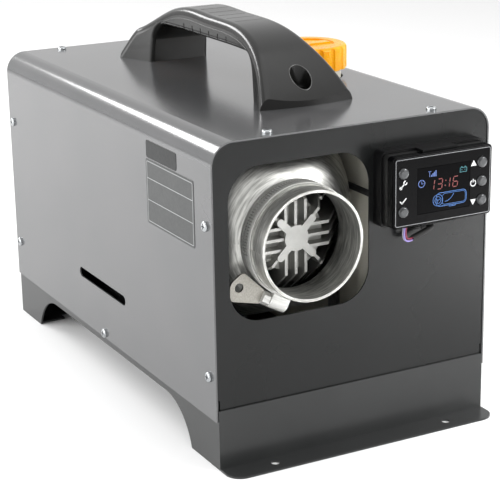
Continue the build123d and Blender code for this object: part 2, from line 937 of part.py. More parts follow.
with BuildPart() as tank_straps:
    for depth in strap_depths:
        with BuildSketch(upright(deep(depth) - strap_width / 2)):
            strap_top = tank_top_z + strap_sheet
            right = tank_right_x + strap_sheet
            left = tank_left_x - strap_sheet
            with BuildLine():
                Polyline(
                    (tank_right_x, plate_top_z), (right, plate_top_z),
                    (right, strap_top - tank_corner),
                )
                RadiusArc((right, strap_top - tank_corner), (right - tank_corner, strap_top),
                          -tank_corner)
                Line((right - tank_corner, strap_top), (left + tank_corner, strap_top))
                RadiusArc((left + tank_corner, strap_top), (left, strap_top - tank_corner),
                          -tank_corner)
                Polyline(
                    (left, strap_top - tank_corner), (left, plate_top_z + strap_sheet),
                    (left - strap_foot, plate_top_z + strap_sheet),
                    (left - strap_foot, plate_top_z), (tank_left_x, plate_top_z),
                    (tank_left_x, tank_top_z - tank_corner),
                )
                inner_bend = tank_corner - strap_sheet
                Line((tank_left_x, tank_top_z - tank_corner),
                     (tank_left_x, tank_top_z - inner_bend))
                RadiusArc((tank_left_x, tank_top_z - inner_bend),
                          (tank_left_x + inner_bend, tank_top_z), inner_bend)
                Line((tank_left_x + inner_bend, tank_top_z),
                     (tank_right_x - inner_bend, tank_top_z))
                RadiusArc((tank_right_x - inner_bend, tank_top_z),
                          (tank_right_x, tank_top_z - inner_bend), inner_bend)
                Line((tank_right_x, tank_top_z - inner_bend), (tank_right_x, plate_top_z))
            make_face()
        extrude(amount=-strap_width)
    with BuildSketch(Plane.XY.offset(plate_top_z)):
        with Locations(*strap_spots):
            Circle(clearance_r)
    extrude(amount=strap_sheet, mode=Mode.SUBTRACT)
save(tank_straps, "tank_straps")

# ---- Filler cap and its seal ----------------------------------------------
seal_top_z = filler_top_z + seal_thickness
cap_top_z = seal_top_z + cap_wall
cap_low_z = cap_top_z - cap_height
with BuildPart() as fuel_cap:
    with BuildSketch(Plane.XY.offset(cap_low_z)):
        with Locations((neck_x, neck_y)):
            Circle(cap_r)
    extrude(amount=cap_height)
    fillet(fuel_cap.edges().group_by(Axis.Z)[-1], cap_edge_round)
    with BuildSketch(Plane.XY.offset(cap_low_z)):
        with Locations((neck_x, neck_y)):
            with PolarLocations(cap_r + flute_r - flute_cut, cap_flutes):
                Circle(flute_r)
    extrude(amount=cap_height, mode=Mode.SUBTRACT)
    with BuildSketch(Plane.XY.offset(cap_low_z)):
        with Locations((neck_x, neck_y)):
            Circle(filler_r + cap_gap)
    extrude(amount=cap_height - cap_wall, mode=Mode.SUBTRACT)
    # Sunk ring on the top, around a raised turning bar
    with BuildSketch(Plane.XY.offset(cap_top_z)):
        with Locations((neck_x, neck_y)):
            Circle(cap_sunk_r)
            Rectangle(cap_bar_length, cap_bar_width, mode=Mode.SUBTRACT)
    extrude(amount=-cap_sunk_depth, mode=Mode.SUBTRACT)
save(fuel_cap, "fuel_cap")

with BuildPart() as cap_seal:
    with BuildSketch(Plane.XY.offset(filler_top_z)):
        with Locations((neck_x, neck_y)):
            Circle(filler_r - seal_inset)
            Circle(filler_r - filler_wall - seal_overhang, mode=Mode.SUBTRACT)
    extrude(amount=seal_thickness)
save(cap_seal, "cap_seal")

# ---- Fuel line: pickup, filter, pump and the hoses between them -----------
with BuildPart() as fuel_pickup:
    with BuildSketch(Plane.YZ.offset(tank_left_x + 2 * tank_wall)):
        with Locations((pickup_y, pickup_z)):
            Circle(pickup_hole_r - press_gap)
    extrude(amount=-2 * tank_wall)
    with BuildSketch(Plane.YZ.offset(tank_left_x)):
        with Locations((pickup_y, pickup_z)):
            RegularPolygon(pickup_hole_r + pickup_hex_rim, 6)
    extrude(amount=-pickup_collar)
    with BuildSketch(Plane.YZ.offset(tank_left_x - pickup_collar)):
        with Locations((pickup_y, pickup_z)):
            Circle(barb_r)
    extrude(amount=-barb_length)
save(fuel_pickup, "fuel_pickup")

filter_front_x = tank_left_x - pickup_collar - 2 * barb_length - hose_run
filter_back_x = filter_front_x - filter_length
with BuildPart() as fuel_filter:
    with BuildSketch(Plane.YZ.offset(filter_front_x)):
        with Locations((pickup_y, pickup_z)):
            Circle(filter_r)
    extrude(amount=-filter_length)
    fillet(fuel_filter.edges(), filter_round)
    with BuildSketch(Plane.YZ.offset(filter_front_x + barb_length)):
        with Locations((pickup_y, pickup_z)):
            Circle(barb_r)
    extrude(amount=-filter_length - 2 * barb_length)
save(fuel_filter, "fuel_filter")

pump_back = pump_front + pump_length
with BuildPart() as fuel_pump:
    with BuildSketch(upright(deep(pump_front))):
        with Locations((pump_x, pump_z)):
            Circle(pump_r)
    extrude(amount=-pump_length)
    fillet(fuel_pump.edges(), pump_round)
    with BuildSketch(upright(deep(pump_front - barb_length))):
        with Locations((pump_x, pump_z)):
            Circle(barb_r)
    extrude(amount=-pump_length - 2 * barb_length)
save(fuel_pump, "fuel_pump")

clip_r = pump_r + fit_gap
with BuildPart() as pump_clip:
    clip_y = clip_spot[1]
    with BuildSketch(upright(clip_y - clip_width / 2)):
        with Locations((pump_x, pump_z)):
            Circle(clip_r + clip_sheet)
        with Locations((pump_x, (plate_top_z + pump_z - pump_r) / 2)):
            Rectangle(clip_foot, pump_z - pump_r - plate_top_z)
        clip_end_x = clip_spot[0] + clip_foot / 2
        with Locations(((pump_x + clip_end_x) / 2, plate_top_z + bracket_sheet / 2)):
            Rectangle(clip_end_x - pump_x, bracket_sheet)
        with Locations((pump_x, pump_z)):
            Circle(clip_r, mode=Mode.SUBTRACT)
    extrude(amount=-clip_width)
    with BuildSketch(Plane.XY.offset(plate_top_z)):
        with Locations(clip_spot):
            Circle(clearance_r)
    extrude(amount=bracket_sheet, mode=Mode.SUBTRACT)
save(pump_clip, "pump_clip")

# ---- Heater shell: two halves meeting level with the outlet's middle ------
def shell_section(width, height, corner, depth):
    """Rounded-rectangle section of the shell at a depth behind the case front."""
    with BuildSketch(upright(deep(depth))) as section:
        with Locations((outlet_x, outlet_z)):
            RectangleRounded(width, height, corner)
    return section.sketch


def shell_solid(inset, overrun):
    """Whole shell shape taken in by inset, run past both ends by overrun."""
    neck = neck_r - inset
    mouth = mouth_r - inset
    width = shell_width - 2 * inset
    height = shell_height - 2 * inset
    corner = shell_corner - inset
    middle = (1 - shoulder_fullness) / 2
    with BuildPart() as form:
        # Both lofts start just inside a round end, which they then grow out of
        for radius, start, end in (
            (neck, lip_depth - overrun, shoulder_depth + round_overlap),
            (mouth, mouth_depth - round_overlap, end_depth + overrun),
        ):
            with BuildSketch(upright(deep(start))):
                with Locations((outlet_x, outlet_z)):
                    Circle(radius)
            extrude(amount=start - end)
        loft([
            shell_section(
                2 * (neck - round_tuck), 2 * (neck - round_tuck), neck - 2 * round_tuck,
                shoulder_depth,
            ),
            shell_section(
                width * (1 - middle) + 2 * neck * middle - shoulder_pinch,
                height * (1 - middle) + 2 * neck * middle - shoulder_pinch,
                neck + shoulder_corner,
                shoulder_depth + shoulder_length * shoulder_knee,
            ),
            shell_section(width, height, corner, body_depth),
        ])
        loft([
            shell_section(width, height, corner, tail_depth),
            shell_section(
                2 * (mouth - round_tuck), 2 * (mouth - round_tuck), mouth - 2 * round_tuck,
                mouth_depth,
            ),
        ])
        with BuildSketch(upright(deep(body_depth))):
            with Locations((outlet_x, outlet_z)):
                RectangleRounded(width, height, corner)
        extrude(amount=body_depth - tail_depth)
    return form.part


shell_space = shell_solid(shell_wall, cut_overrun)
with BuildPart() as whole_shell:
    add(shell_solid(0, 0))
    # Behind the hose's seat the neck is a step larger, which stops the hose
    with BuildSketch(upright(deep(neck_seat_end))):
        with Locations((outlet_x, outlet_z)):
            Circle(neck_r + neck_step)
    extrude(amount=neck_seat_end - shoulder_depth - round_overlap / 2)
    add(shell_space, mode=Mode.SUBTRACT)
seam_half = shell_width / 2 + seam_rib
with BuildPart() as shell_upper:
    add(whole_shell.part)
    split(bisect_by=Plane.XY.offset(outlet_z), keep=Keep.TOP)
    # Joint rib along both sides, just above the seam
    with BuildSketch(Plane.XY.offset(outlet_z)):
        with BuildLine():
            Polyline(
                (outlet_x - neck_r, deep(shoulder_depth + seam_rib)),
                (outlet_x - seam_half, deep(body_depth)),
                (outlet_x - seam_half, deep(tail_depth)),
                (outlet_x + seam_half, deep(tail_depth)),
                (outlet_x + seam_half, deep(body_depth)),
                (outlet_x + neck_r, deep(shoulder_depth + seam_rib)),
                close=True,
            )
        make_face()
    extrude(amount=seam_rib_h)
    add(shell_space, mode=Mode.SUBTRACT)
save(shell_upper, "shell_upper")

port_places = ((exhaust_depth, exhaust_port_length), (intake_depth, intake_port_length))
with BuildPart() as shell_lower:
    add(whole_shell.part)
    split(bisect_by=Plane.XY.offset(outlet_z), keep=Keep.BOTTOM)
    with BuildSketch(Plane.XY.offset(shell_low_z - shell_wall)):
        for depth, length in port_places:
            with Locations((outlet_x, deep(depth))):
                Rectangle(port_width + 2 * fit_gap, length + 2 * fit_gap)
    extrude(amount=4 * shell_wall, mode=Mode.SUBTRACT)
save(shell_lower, "shell_lower")

# ---- Heat exchanger: finned casting with a star-shaped nose ---------------
chamber_r = core_r - core_wall


def fin_profile(inner, outer, start_depth, offset):
    """Side outline of a fin: radius against Y, flat in front, then raked back."""
    flat = max(inner + fin_thickness / 2, fin_flat_r - offset)
    rake_end = start_depth + (outer - flat) * fin_rake
    with BuildSketch() as profile:
        with BuildLine():
            Polyline(
                (deep(start_depth), inner), (deep(start_depth), flat),
                (deep(rake_end), outer), (deep(fin_end), outer),
                (deep(fin_end), inner), close=True,
            )
        make_face()
    return profile.sketch


def spoke_plane(turn, offset):
    """Plane along the outlet axis, holding the direction at this turn from up."""
    outward = Vector(sin(radians(turn)), 0, cos(radians(turn)))
    across = Vector(cos(radians(turn)), 0, -sin(radians(turn)))
    origin = Vector(outlet_x, 0, outlet_z) + across * offset
    return Plane(origin=origin, x_dir=(0, 1, 0), z_dir=Vector(0, 1, 0).cross(outward))


wide_reach = shell_width / 2 - shell_wall - fin_clear
high_reach = shell_height / 2 - shell_wall - fin_clear
corner_reach = hypot(wide_reach, high_reach) * fin_corner_share
with BuildPart() as heat_exchanger:
    with BuildSketch(upright(deep(core_depth))):
        with Locations((outlet_x, outlet_z)):
            Circle(core_r)
    extrude(amount=core_depth - flange_depth)
    with BuildSketch(upright(deep(flange_depth))):
        with Locations((outlet_x, outlet_z)):
            Circle(flange_r)
    extrude(amount=-flange_thickness)
    # Fins in four directions, seven to a side; the middle three reach the hub
    for turn, reach in ((0, high_reach), (90, wide_reach), (180, high_reach), (270, wide_reach)):
        for step in range(-fins_beside, fins_beside + 1):
            offset = step * fin_pitch
            beside_arm = abs(step) > hub_fins
            inner = abs(offset) if beside_arm else 0.0
            start = fin_depth + (outer_fin_back if beside_arm else 0.0)
            with BuildSketch(spoke_plane(turn, offset)):
                add(fin_profile(inner, reach, start, abs(offset) if beside_arm else 0.0))
            extrude(amount=fin_thickness / 2, both=True)
    # One wider fin on each diagonal, behind the star's arms
    for turn in (45, 135, 225, 315):
        with BuildSketch(spoke_plane(turn, 0)):
            add(fin_profile(0, corner_reach, fin_depth, 0))
        extrude(amount=fin_thickness / 2, both=True)
    # Star: a hub with hollowed sides and four rounded arms
    with BuildSketch(upright(deep(hub_depth))):
        with Locations((outlet_x, outlet_z)):
            Circle(hub_r)
        for turn in (45, 135):
            with Locations(Location((outlet_x, outlet_z), turn)):
                SlotOverall(2 * arm_reach, arm_width)
    extrude(amount=-core_set_back)
    # Combustion chamber, open at the back
    with BuildSketch(upright(deep(core_depth + chamber_front))):
        with Locations((outlet_x, outlet_z)):
            Circle(chamber_r)
    extrude(amount=core_depth + chamber_front - flange_end, mode=Mode.SUBTRACT)
    # Exhaust port down to the mounting foot
    with BuildSketch(Plane.XY.offset(shell_low_z)):
        with Locations((outlet_x, deep(exhaust_depth))):
            Rectangle(port_width, exhaust_port_length)
    extrude(amount=outlet_z - chamber_r - shell_low_z)
    with BuildSketch(Plane.XY.offset(shell_low_z)):
        with Locations((outlet_x, deep(exhaust_depth))):
            Circle(exhaust_r - pipe_wall)
    extrude(amount=outlet_z - shell_low_z, mode=Mode.SUBTRACT)
    # Tapped hole for the glow plug, in the bare stretch of the core
    with BuildSketch(Plane.YZ.offset(outlet_x)):
        with Locations((deep(flange_depth - bare_core / 2), outlet_z)):
            Circle(plug_r + thread_gap)
    extrude(amount=core_r + cut_overrun, mode=Mode.SUBTRACT)
save(heat_exchanger, "heat_exchanger")

# ---- Burner, its gasket, glow plug and overheat sensor --------------------
plug_y = deep(flange_depth - bare_core / 2)
with BuildPart() as burner_gasket:
    with BuildSketch(upright(deep(flange_end))):
        with Locations((outlet_x, outlet_z)):
            Circle(flange_r - burner_rim_inset)
            Circle(chamber_r, mode=Mode.SUBTRACT)
    extrude(amount=-burner_gasket_thickness)
save(burner_gasket, "burner_gasket")

with BuildPart() as burner:
    with BuildSketch(upright(deep(burner_flange_depth - burner_length))):
        with Locations((outlet_x, outlet_z)):
            Circle(burner_r)
            Circle(burner_r - burner_sheet, mode=Mode.SUBTRACT)
    extrude(amount=-burner_length)
    with BuildSketch(upright(deep(burner_flange_depth))):
        with Locations((outlet_x, outlet_z)):
            Circle(flange_r - burner_rim_inset)
            Circle(burner_throat_r, mode=Mode.SUBTRACT)
    extrude(amount=-burner_sheet)
    with BuildSketch(Plane.YZ.offset(outlet_x)):
        with Locations((plug_y, outlet_z)):
            Circle(plug_tip_r + plug_clear)
    extrude(amount=burner_r + cut_overrun, mode=Mode.SUBTRACT)
save(burner, "burner")

with BuildPart() as glow_plug:
    head_x = outlet_x + core_r + fit_gap
    for radius, start, length in (
        (plug_tip_r, outlet_x + burner_throat_r, core_r - burner_throat_r),
        (plug_r, outlet_x + chamber_r, core_wall + fit_gap),
        (plug_tip_r + plug_terminal_rim, head_x + plug_head, plug_head),
    ):
        with BuildSketch(Plane.YZ.offset(start)):
            with Locations((plug_y, outlet_z)):
                Circle(radius)
        extrude(amount=length)
    with BuildSketch(Plane.YZ.offset(head_x)):
        with Locations((plug_y, outlet_z)):
            RegularPolygon(plug_r + plug_hex_rim, 6)
    extrude(amount=plug_head)
save(glow_plug, "glow_plug")

with BuildPart() as overheat_sensor:
    with BuildSketch(Plane.XY.offset(outlet_z + core_r + sensor_gap)):
        with Locations((outlet_x, plug_y)):
            Circle(sensor_r)
    extrude(amount=sensor_r)
    fillet(overheat_sensor.edges().group_by(Axis.Z)[-1], sensor_round)
save(overheat_sensor, "overheat_sensor")

# ---- Blower: two wheels on one shaft, with the motor between --------------
cup_end = housing_end + cup_length
blower_r = flange_r
with BuildPart() as blower_cover:
    with BuildSketch(upright(deep(cover_plate_depth))):
        with Locations((outlet_x, outlet_z)):
            Circle(blower_r)
            Circle(burner_throat_r, mode=Mode.SUBTRACT)
    extrude(amount=-blower_plate)
save(blower_cover, "blower_cover")

with BuildPart() as blower_housing:
    with BuildSketch(upright(deep(housing_depth))):
        with Locations((outlet_x, outlet_z)):
            Circle(blower_r)
    extrude(amount=housing_depth - housing_end)
    with BuildSketch(upright(deep(housing_end))):
        with Locations((outlet_x, outlet_z)):
            Circle(motor_r + fit_gap + cup_wall)
    extrude(amount=-cup_length)
    with BuildSketch(Plane.XY.offset(shell_low_z)):
        with Locations((outlet_x, deep(intake_depth))):
            Rectangle(port_width, intake_port_length)
    extrude(amount=blower_r)
    for radius, start, end in (
        (blower_r - blower_wall, housing_depth, chamber_end),
        (shaft_r + shaft_clear, chamber_end, housing_end),
        (motor_r + fit_gap, housing_end, cup_end + cut_overrun),
    ):
        with BuildSketch(upright(deep(start))):
            with Locations((outlet_x, outlet_z)):
                Circle(radius)
        extrude(amount=start - end, mode=Mode.SUBTRACT)
    with BuildSketch(Plane.XY.offset(shell_low_z)):
        with Locations((outlet_x, deep(intake_depth))):
            Circle(intake_bore_r)
    extrude(amount=blower_r, mode=Mode.SUBTRACT)
save(blower_housing, "blower_housing")

with BuildPart() as motor:
    with BuildSketch(upright(deep(housing_end))):
        with Locations((outlet_x, outlet_z)):
            Circle(motor_r)
    extrude(amount=-motor_length)
    fillet(motor.edges().group_by(Axis.Y)[-1], motor_round)
    for radius, start, end in (
        (bearing_r + press_gap, housing_end, housing_end + bearing_width),
        (bearing_r + press_gap, motor_end - bearing_width, motor_end),
        (shaft_r + shaft_clear, housing_end, motor_end),
    ):
        with BuildSketch(upright(deep(start))):
            with Locations((outlet_x, outlet_z)):
                Circle(radius)
        extrude(amount=start - end, mode=Mode.SUBTRACT)
save(motor, "motor")

with BuildPart() as motor_bearings:
    for start in (housing_end, motor_end - bearing_width):
        with BuildSketch(upright(deep(start))):
            with Locations((outlet_x, outlet_z)):
                Circle(bearing_r)
                Circle(shaft_r + running_gap, mode=Mode.SUBTRACT)
        extrude(amount=-bearing_width)
save(motor_bearings, "motor_bearings")

shaft_start = housing_depth + shaft_nose
with BuildPart() as motor_shaft:
    with BuildSketch(upright(deep(shaft_start))):
        with Locations((outlet_x, outlet_z)):
            Circle(shaft_r)
    extrude(amount=shaft_start - fan_depth - fan_width + fan_nose)
save(motor_shaft, "motor_shaft")

impeller_r = blower_r - blower_wall - impeller_clear
with BuildPart() as combustion_impeller:
    with BuildSketch(upright(deep(chamber_end - impeller_plate - impeller_back_gap))):
        with Locations((outlet_x, outlet_z)):
            Circle(impeller_r)
    extrude(amount=-impeller_plate)
    with BuildSketch(upright(deep(housing_depth + impeller_front_gap))):
        with Locations((outlet_x, outlet_z)):
            Circle(impeller_hub_r)
    extrude(amount=-(impeller_room - impeller_front_gap - impeller_back_gap))
    with BuildSketch(upright(deep(housing_depth + vane_front_gap))):
        for vane in range(impeller_vanes):
            turn = 360 / impeller_vanes * vane
            with Locations(Location((outlet_x, outlet_z), turn)):
                with Locations(Location((vane_at, 0), vane_lean)):
                    Rectangle(vane_length, vane_thickness)
    extrude(amount=-(impeller_room - vane_front_gap - vane_end_gap))
    with BuildSketch(upright(deep(housing_depth))):
        with Locations((outlet_x, outlet_z)):
            Circle(shaft_r + running_gap)
    extrude(amount=-impeller_room, mode=Mode.SUBTRACT)
save(combustion_impeller, "combustion_impeller")

fan_r = mouth_r - shell_wall - fan_tip_gap
with BuildPart() as fan_wheel:
    with BuildSketch(upright(deep(fan_depth))):
        with Locations((outlet_x, outlet_z)):
            Circle(fan_hub_r)
    extrude(amount=-fan_width)
    fillet(fan_wheel.edges().group_by(Axis.Y)[-1], fan_hub_round)
    for blade in range(fan_blades):
        turn = radians(360 / fan_blades * blade)
        outward = Vector(cos(turn), 0, sin(turn))
        across = Vector(-sin(turn), 0, cos(turn))
        lean = radians(fan_pitch)
        middle = Vector(outlet_x, deep(fan_depth + fan_width / 2), outlet_z)
        blade_plane = Plane(
            origin=middle + outward * (fan_r + fan_hub_r - blade_root) / 2,
            x_dir=outward,
            z_dir=across * cos(lean) + Vector(0, 1, 0) * sin(lean),
        )
        with BuildSketch(blade_plane):
            Trapezoid(fan_r - fan_hub_r + blade_root, blade_width, blade_taper)
        extrude(amount=blade_thickness / 2, both=True)
    with BuildSketch(upright(deep(fan_depth - cut_overrun))):
        with Locations((outlet_x, outlet_z)):
            Circle(2 * mouth_r)
            Circle(fan_r, mode=Mode.SUBTRACT)
    extrude(amount=-(fan_width + 2 * cut_overrun), mode=Mode.SUBTRACT)
    with BuildSketch(upright(deep(fan_depth))):
        with Locations((outlet_x, outlet_z)):
            Circle(shaft_r + running_gap)
    extrude(amount=-(fan_width - fan_nose), mode=Mode.SUBTRACT)
save(fan_wheel, "fan_wheel")

with BuildPart() as control_unit:
    unit_low_z = outlet_z + motor_r + fit_gap + cup_wall + fit_gap
    with Locations((outlet_x, deep(housing_end + unit_gap), unit_low_z)):
        Box(unit_width, unit_length, unit_height, align=(Align.CENTER, Align.MIN, Align.MIN))
    fillet(control_unit.edges().filter_by(Axis.Z), unit_corner)
save(control_unit, "control_unit")

# ---- Mounting foot, gasket, bracket and nuts ------------------------------
foot_top_z = shell_low_z
foot_low_z = foot_top_z - foot_plate
gasket_low_z = foot_low_z - gasket_thickness
bracket_low_z = gasket_low_z - bracket_sheet
foot_middle = (foot_front + foot_back) / 2
stud_spots = [
    (outlet_x + side * (foot_width / 2 - stud_inset), deep(depth))
    for side in (-1, 1)
    for depth in (foot_front + stud_inset, foot_back - stud_inset)
]
pipe_ports = (
    ((outlet_x, deep(exhaust_depth)), exhaust_r + pipe_step),
    ((outlet_x, deep(intake_depth)), intake_r + pipe_step),
)
with BuildPart() as mounting_foot:
    with BuildSketch(Plane.XY.offset(foot_low_z)):
        with Locations((outlet_x, deep(foot_middle))):
            RectangleRounded(foot_width, foot_back - foot_front, foot_corner)
        for port, radius in pipe_ports:
            with Locations(port):
                Circle(radius + running_gap, mode=Mode.SUBTRACT)
    extrude(amount=foot_plate)
    with BuildSketch(Plane.XY.offset(foot_low_z)):
        with Locations(*stud_spots):
            Circle(stud_r)
    extrude(amount=-stud_length)
    with BuildSketch(upright(deep(foot_front))):
        with Locations((pump_x, foot_low_z + foot_plate / 2)):
            Circle(barb_r)
    extrude(amount=barb_length)
save(mounting_foot, "mounting_foot")

with BuildPart() as foot_gasket:
    with BuildSketch(Plane.XY.offset(gasket_low_z)):
        with Locations((outlet_x, deep(foot_middle))):
            RectangleRounded(foot_width, foot_back - foot_front, foot_corner)
        with Locations(*stud_spots):
            Circle(stud_r + fit_gap, mode=Mode.SUBTRACT)
        for port, radius in pipe_ports:
            with Locations(port):
                Circle(radius + fit_gap, mode=Mode.SUBTRACT)
    extrude(amount=gasket_thickness)
save(foot_gasket, "foot_gasket")

with BuildPart() as heater_bracket:
    inner_half = bracket_half - bracket_sheet
    bracket_top_z = gasket_low_z
    with BuildSketch(upright(deep(bracket_front))):
        with BuildLine():
            Polyline(
                (outlet_x - bracket_half - bracket_foot, plate_top_z),
                (outlet_x - inner_half, plate_top_z),
                (outlet_x - inner_half, bracket_low_z),
                (outlet_x + inner_half, bracket_low_z),
                (outlet_x + inner_half, plate_top_z),
                (outlet_x + bracket_half + bracket_foot, plate_top_z),
                (outlet_x + bracket_half + bracket_foot, plate_top_z + bracket_sheet),
                (outlet_x + bracket_half, plate_top_z + bracket_sheet),
                (outlet_x + bracket_half, bracket_top_z),
                (outlet_x - bracket_half, bracket_top_z),
                (outlet_x - bracket_half, plate_top_z + bracket_sheet),
                (outlet_x - bracket_half - bracket_foot, plate_top_z + bracket_sheet),
                close=True,
            )
        make_face()
    extrude(amount=bracket_front - bracket_back)
    with BuildSketch(Plane.XY.offset(bracket_low_z)):
        with Locations(*stud_spots):
            Circle(stud_r + fit_gap)
        for port, radius in pipe_ports:
            with Locations(port):
                Circle(radius + port_gap)
    extrude(amount=bracket_sheet, mode=Mode.SUBTRACT)
    with BuildSketch(Plane.XY.offset(plate_top_z)):
        with Locations(*bracket_screws):
            Circle(clearance_r)
    extrude(amount=bracket_sheet, mode=Mode.SUBTRACT)
save(heater_bracket, "heater_bracket")

stud_nut = hex_nut(stud_nut_flat, stud_nut_h, stud_r + thread_gap)
with BuildPart() as bracket_nuts:
    for spot_x, spot_y in stud_spots:
        with Locations((spot_x, spot_y, bracket_low_z - stud_nut_h)):
            add(stud_nut)
save(bracket_nuts, "bracket_nuts")

for name, (port, radius) in zip(("exhaust_pipe", "intake_pipe"), pipe_ports):
    with BuildPart() as pipe:
        with BuildSketch(Plane.XY.offset(pipe_end_z)):
            with Locations(port):
                Circle(radius - pipe_step)
        extrude(amount=pipe_seat)
        # Above the hose's seat the pipe is a step larger, which stops the hose
        with BuildSketch(Plane.XY.offset(pipe_end_z + pipe_seat)):
            with Locations(port):
                Circle(radius)
        extrude(amount=foot_top_z - pipe_end_z - pipe_seat)
        with BuildSketch(Plane.XY.offset(pipe_end_z)):
            with Locations(port):
                Circle(radius - pipe_step - pipe_wall)
        extrude(amount=foot_top_z - pipe_end_z, mode=Mode.SUBTRACT)
    save(pipe, name)

# ---- Hoses on the barbs, and the two runs of the wiring -------------------
hose_z = foot_low_z + foot_plate / 2
hose_rise_depth = (pump_back + foot_front - hose_rise_run) / 2
fuel_hoses_runs = (
    (
        [(tank_left_x - pickup_collar, pickup_y, pickup_z),
         (filter_front_x, pickup_y, pickup_z)],
        [],
    ),
    (
        [(filter_back_x, pickup_y, pickup_z), (pump_x, pickup_y, pickup_z),
         (pump_x, deep(pump_front), pump_z)],
        [hose_bend],
    ),
    (
        [(pump_x, deep(pump_back), pump_z), (pump_x, deep(hose_rise_depth), pump_z),
         (pump_x, deep(hose_rise_depth + hose_rise_run), hose_z),
         (pump_x, deep(foot_front), hose_z)],
        [hose_bend, hose_bend],
    ),
)
with BuildPart() as fuel_hoses:
    with BuildSketch(Plane.YZ.offset(tank_left_x - pickup_collar)):
        with Locations((pickup_y, pickup_z)):
            Circle(hose_r)
            Circle(hose_bore_r, mode=Mode.SUBTRACT)
    extrude(amount=filter_front_x - tank_left_x + pickup_collar)
    for points, radii in fuel_hoses_runs[1:]:
        add(pipe_along(points, radii, hose_r, hose_bore_r))
save(fuel_hoses, "fuel_hoses")

wire_start_x = outlet_x + shell_width / 2
wire_lane_x = (wire_start_x + tank_left_x - strap_sheet) / 2
wire_z = outlet_z + wire_lift
lane_front_y = deep((panel_recess + sheet + tank_front) / 2)
lane_back_y = deep(tank_front + tank_length + wire_r + wire_lane_gap)
lead_join_y = ahead(-sheet - grommet_lip - lead_join_gap)
gland_in_y = rear_face_y - sheet
first_bend = wire_lane_x - wire_start_x - wire_start_run
wire_out_depth = tail_depth - wire_out_inset
front_exit_y = deep(wire_out_depth - wire_spread / 2)
back_exit_y = deep(wire_out_depth + wire_spread / 2)
with BuildPart() as wiring:
    add(pipe_along(
        [
            (wire_start_x, front_exit_y, wire_z),
            (wire_lane_x, front_exit_y, wire_z),
            (wire_lane_x, lane_front_y, wire_z),
            (grommet_x, lane_front_y, grommet_z),
            (grommet_x, lead_join_y, grommet_z),
        ],
        [first_bend, wire_bend, wire_bend],
        wire_r,
    ))
    add(pipe_along(
        [
            (wire_start_x, back_exit_y, wire_z),
            (wire_lane_x, back_exit_y, wire_z),
            (wire_lane_x, lane_back_y, wire_z),
            (gland_x, lane_back_y, gland_z),
            (gland_x, gland_in_y - gland_nut, gland_z),
        ],
        [first_bend, wire_bend, wire_bend],
        wire_r,
    ))
save(wiring, "wiring")

# ---- Hose clamp on the neck: band, housing, screw and wing key ------------
band_r = neck_r + neck_step + band_gap
band_y = deep(lip_depth + band_set_back)
clamp_turn = radians(clamp_angle)
clamp_out = Vector(cos(clamp_turn), 0, sin(clamp_turn))
clamp_along = Vector(-sin(clamp_turn), 0, cos(clamp_turn))
clamp_middle = Vector(outlet_x, band_y, outlet_z) + clamp_out * clamp_axis_r
screw_plane = Plane(origin=clamp_middle, x_dir=clamp_out, z_dir=clamp_along)
with BuildPart() as clamp_band:
    with BuildSketch(upright(band_y - band_width / 2)):
        with Locations((outlet_x, outlet_z)):
            Circle(band_r + band_sheet)
            Circle(band_r, mode=Mode.SUBTRACT)
    extrude(amount=-band_width)
    # Slots that the screw's thread runs in, round the upper left of the band
    for step in range(band_slots):
        turn = band_slot_start + step * band_slot_pitch
        with Locations(Location((outlet_x, band_y, outlet_z), (0, -turn, 0))):
            with Locations((band_r + band_sheet / 2, 0, 0)):
                Box(3 * band_sheet, band_slot_length, band_slot_width, mode=Mode.SUBTRACT)
save(clamp_band, "clamp_band")

housing_base = band_r + band_sheet + band_gap - clamp_axis_r
housing_top = clamp_bore_r + clamp_wall
with BuildPart() as clamp_housing:
    with BuildSketch(screw_plane.offset(clamp_housing_start)):
        with Locations((housing_base / 2, 0)):
            Rectangle(-housing_base, 2 * housing_top)
        Circle(housing_top)
        Circle(clamp_bore_r, mode=Mode.SUBTRACT)
    extrude(amount=clamp_housing_length)
save(clamp_housing, "clamp_housing")

head_end = clamp_housing_start - fit_gap - clamp_head_length
with BuildPart() as clamp_screw:
    with BuildSketch(screw_plane.offset(head_end)):
        RegularPolygon(clamp_head_r, 6)
    extrude(amount=clamp_head_length)
    with BuildSketch(screw_plane.offset(head_end)):
        Circle(clamp_screw_r)
    extrude(amount=clamp_housing_start + clamp_housing_length + clamp_screw_end - head_end)
save(clamp_screw, "clamp_screw")

# The key lies flat in the plane of the band: its X runs back along the screw
wing_plane = Plane(
    origin=clamp_middle + clamp_along * head_end, x_dir=-clamp_along, z_dir=(0, -1, 0)
)
with BuildPart() as wing_key:
    with BuildSketch(wing_plane):
        with Locations((wing_foot / 2, 0)):
            Rectangle(wing_foot, 2 * wing_root)
        with Locations((wing_hole_at, wing_lobe_rise), (wing_hole_at, -wing_lobe_rise)):
            Circle(wing_lobe_r)
        with Locations((wing_hole_at, 0)):
            Circle(wing_reach - wing_hole_at)
        make_hull()
        with Locations((wing_hole_at, 0)):
            Circle(wing_hole_r, mode=Mode.SUBTRACT)
    extrude(amount=wing_sheet / 2, both=True)
save(wing_key, "wing_key")

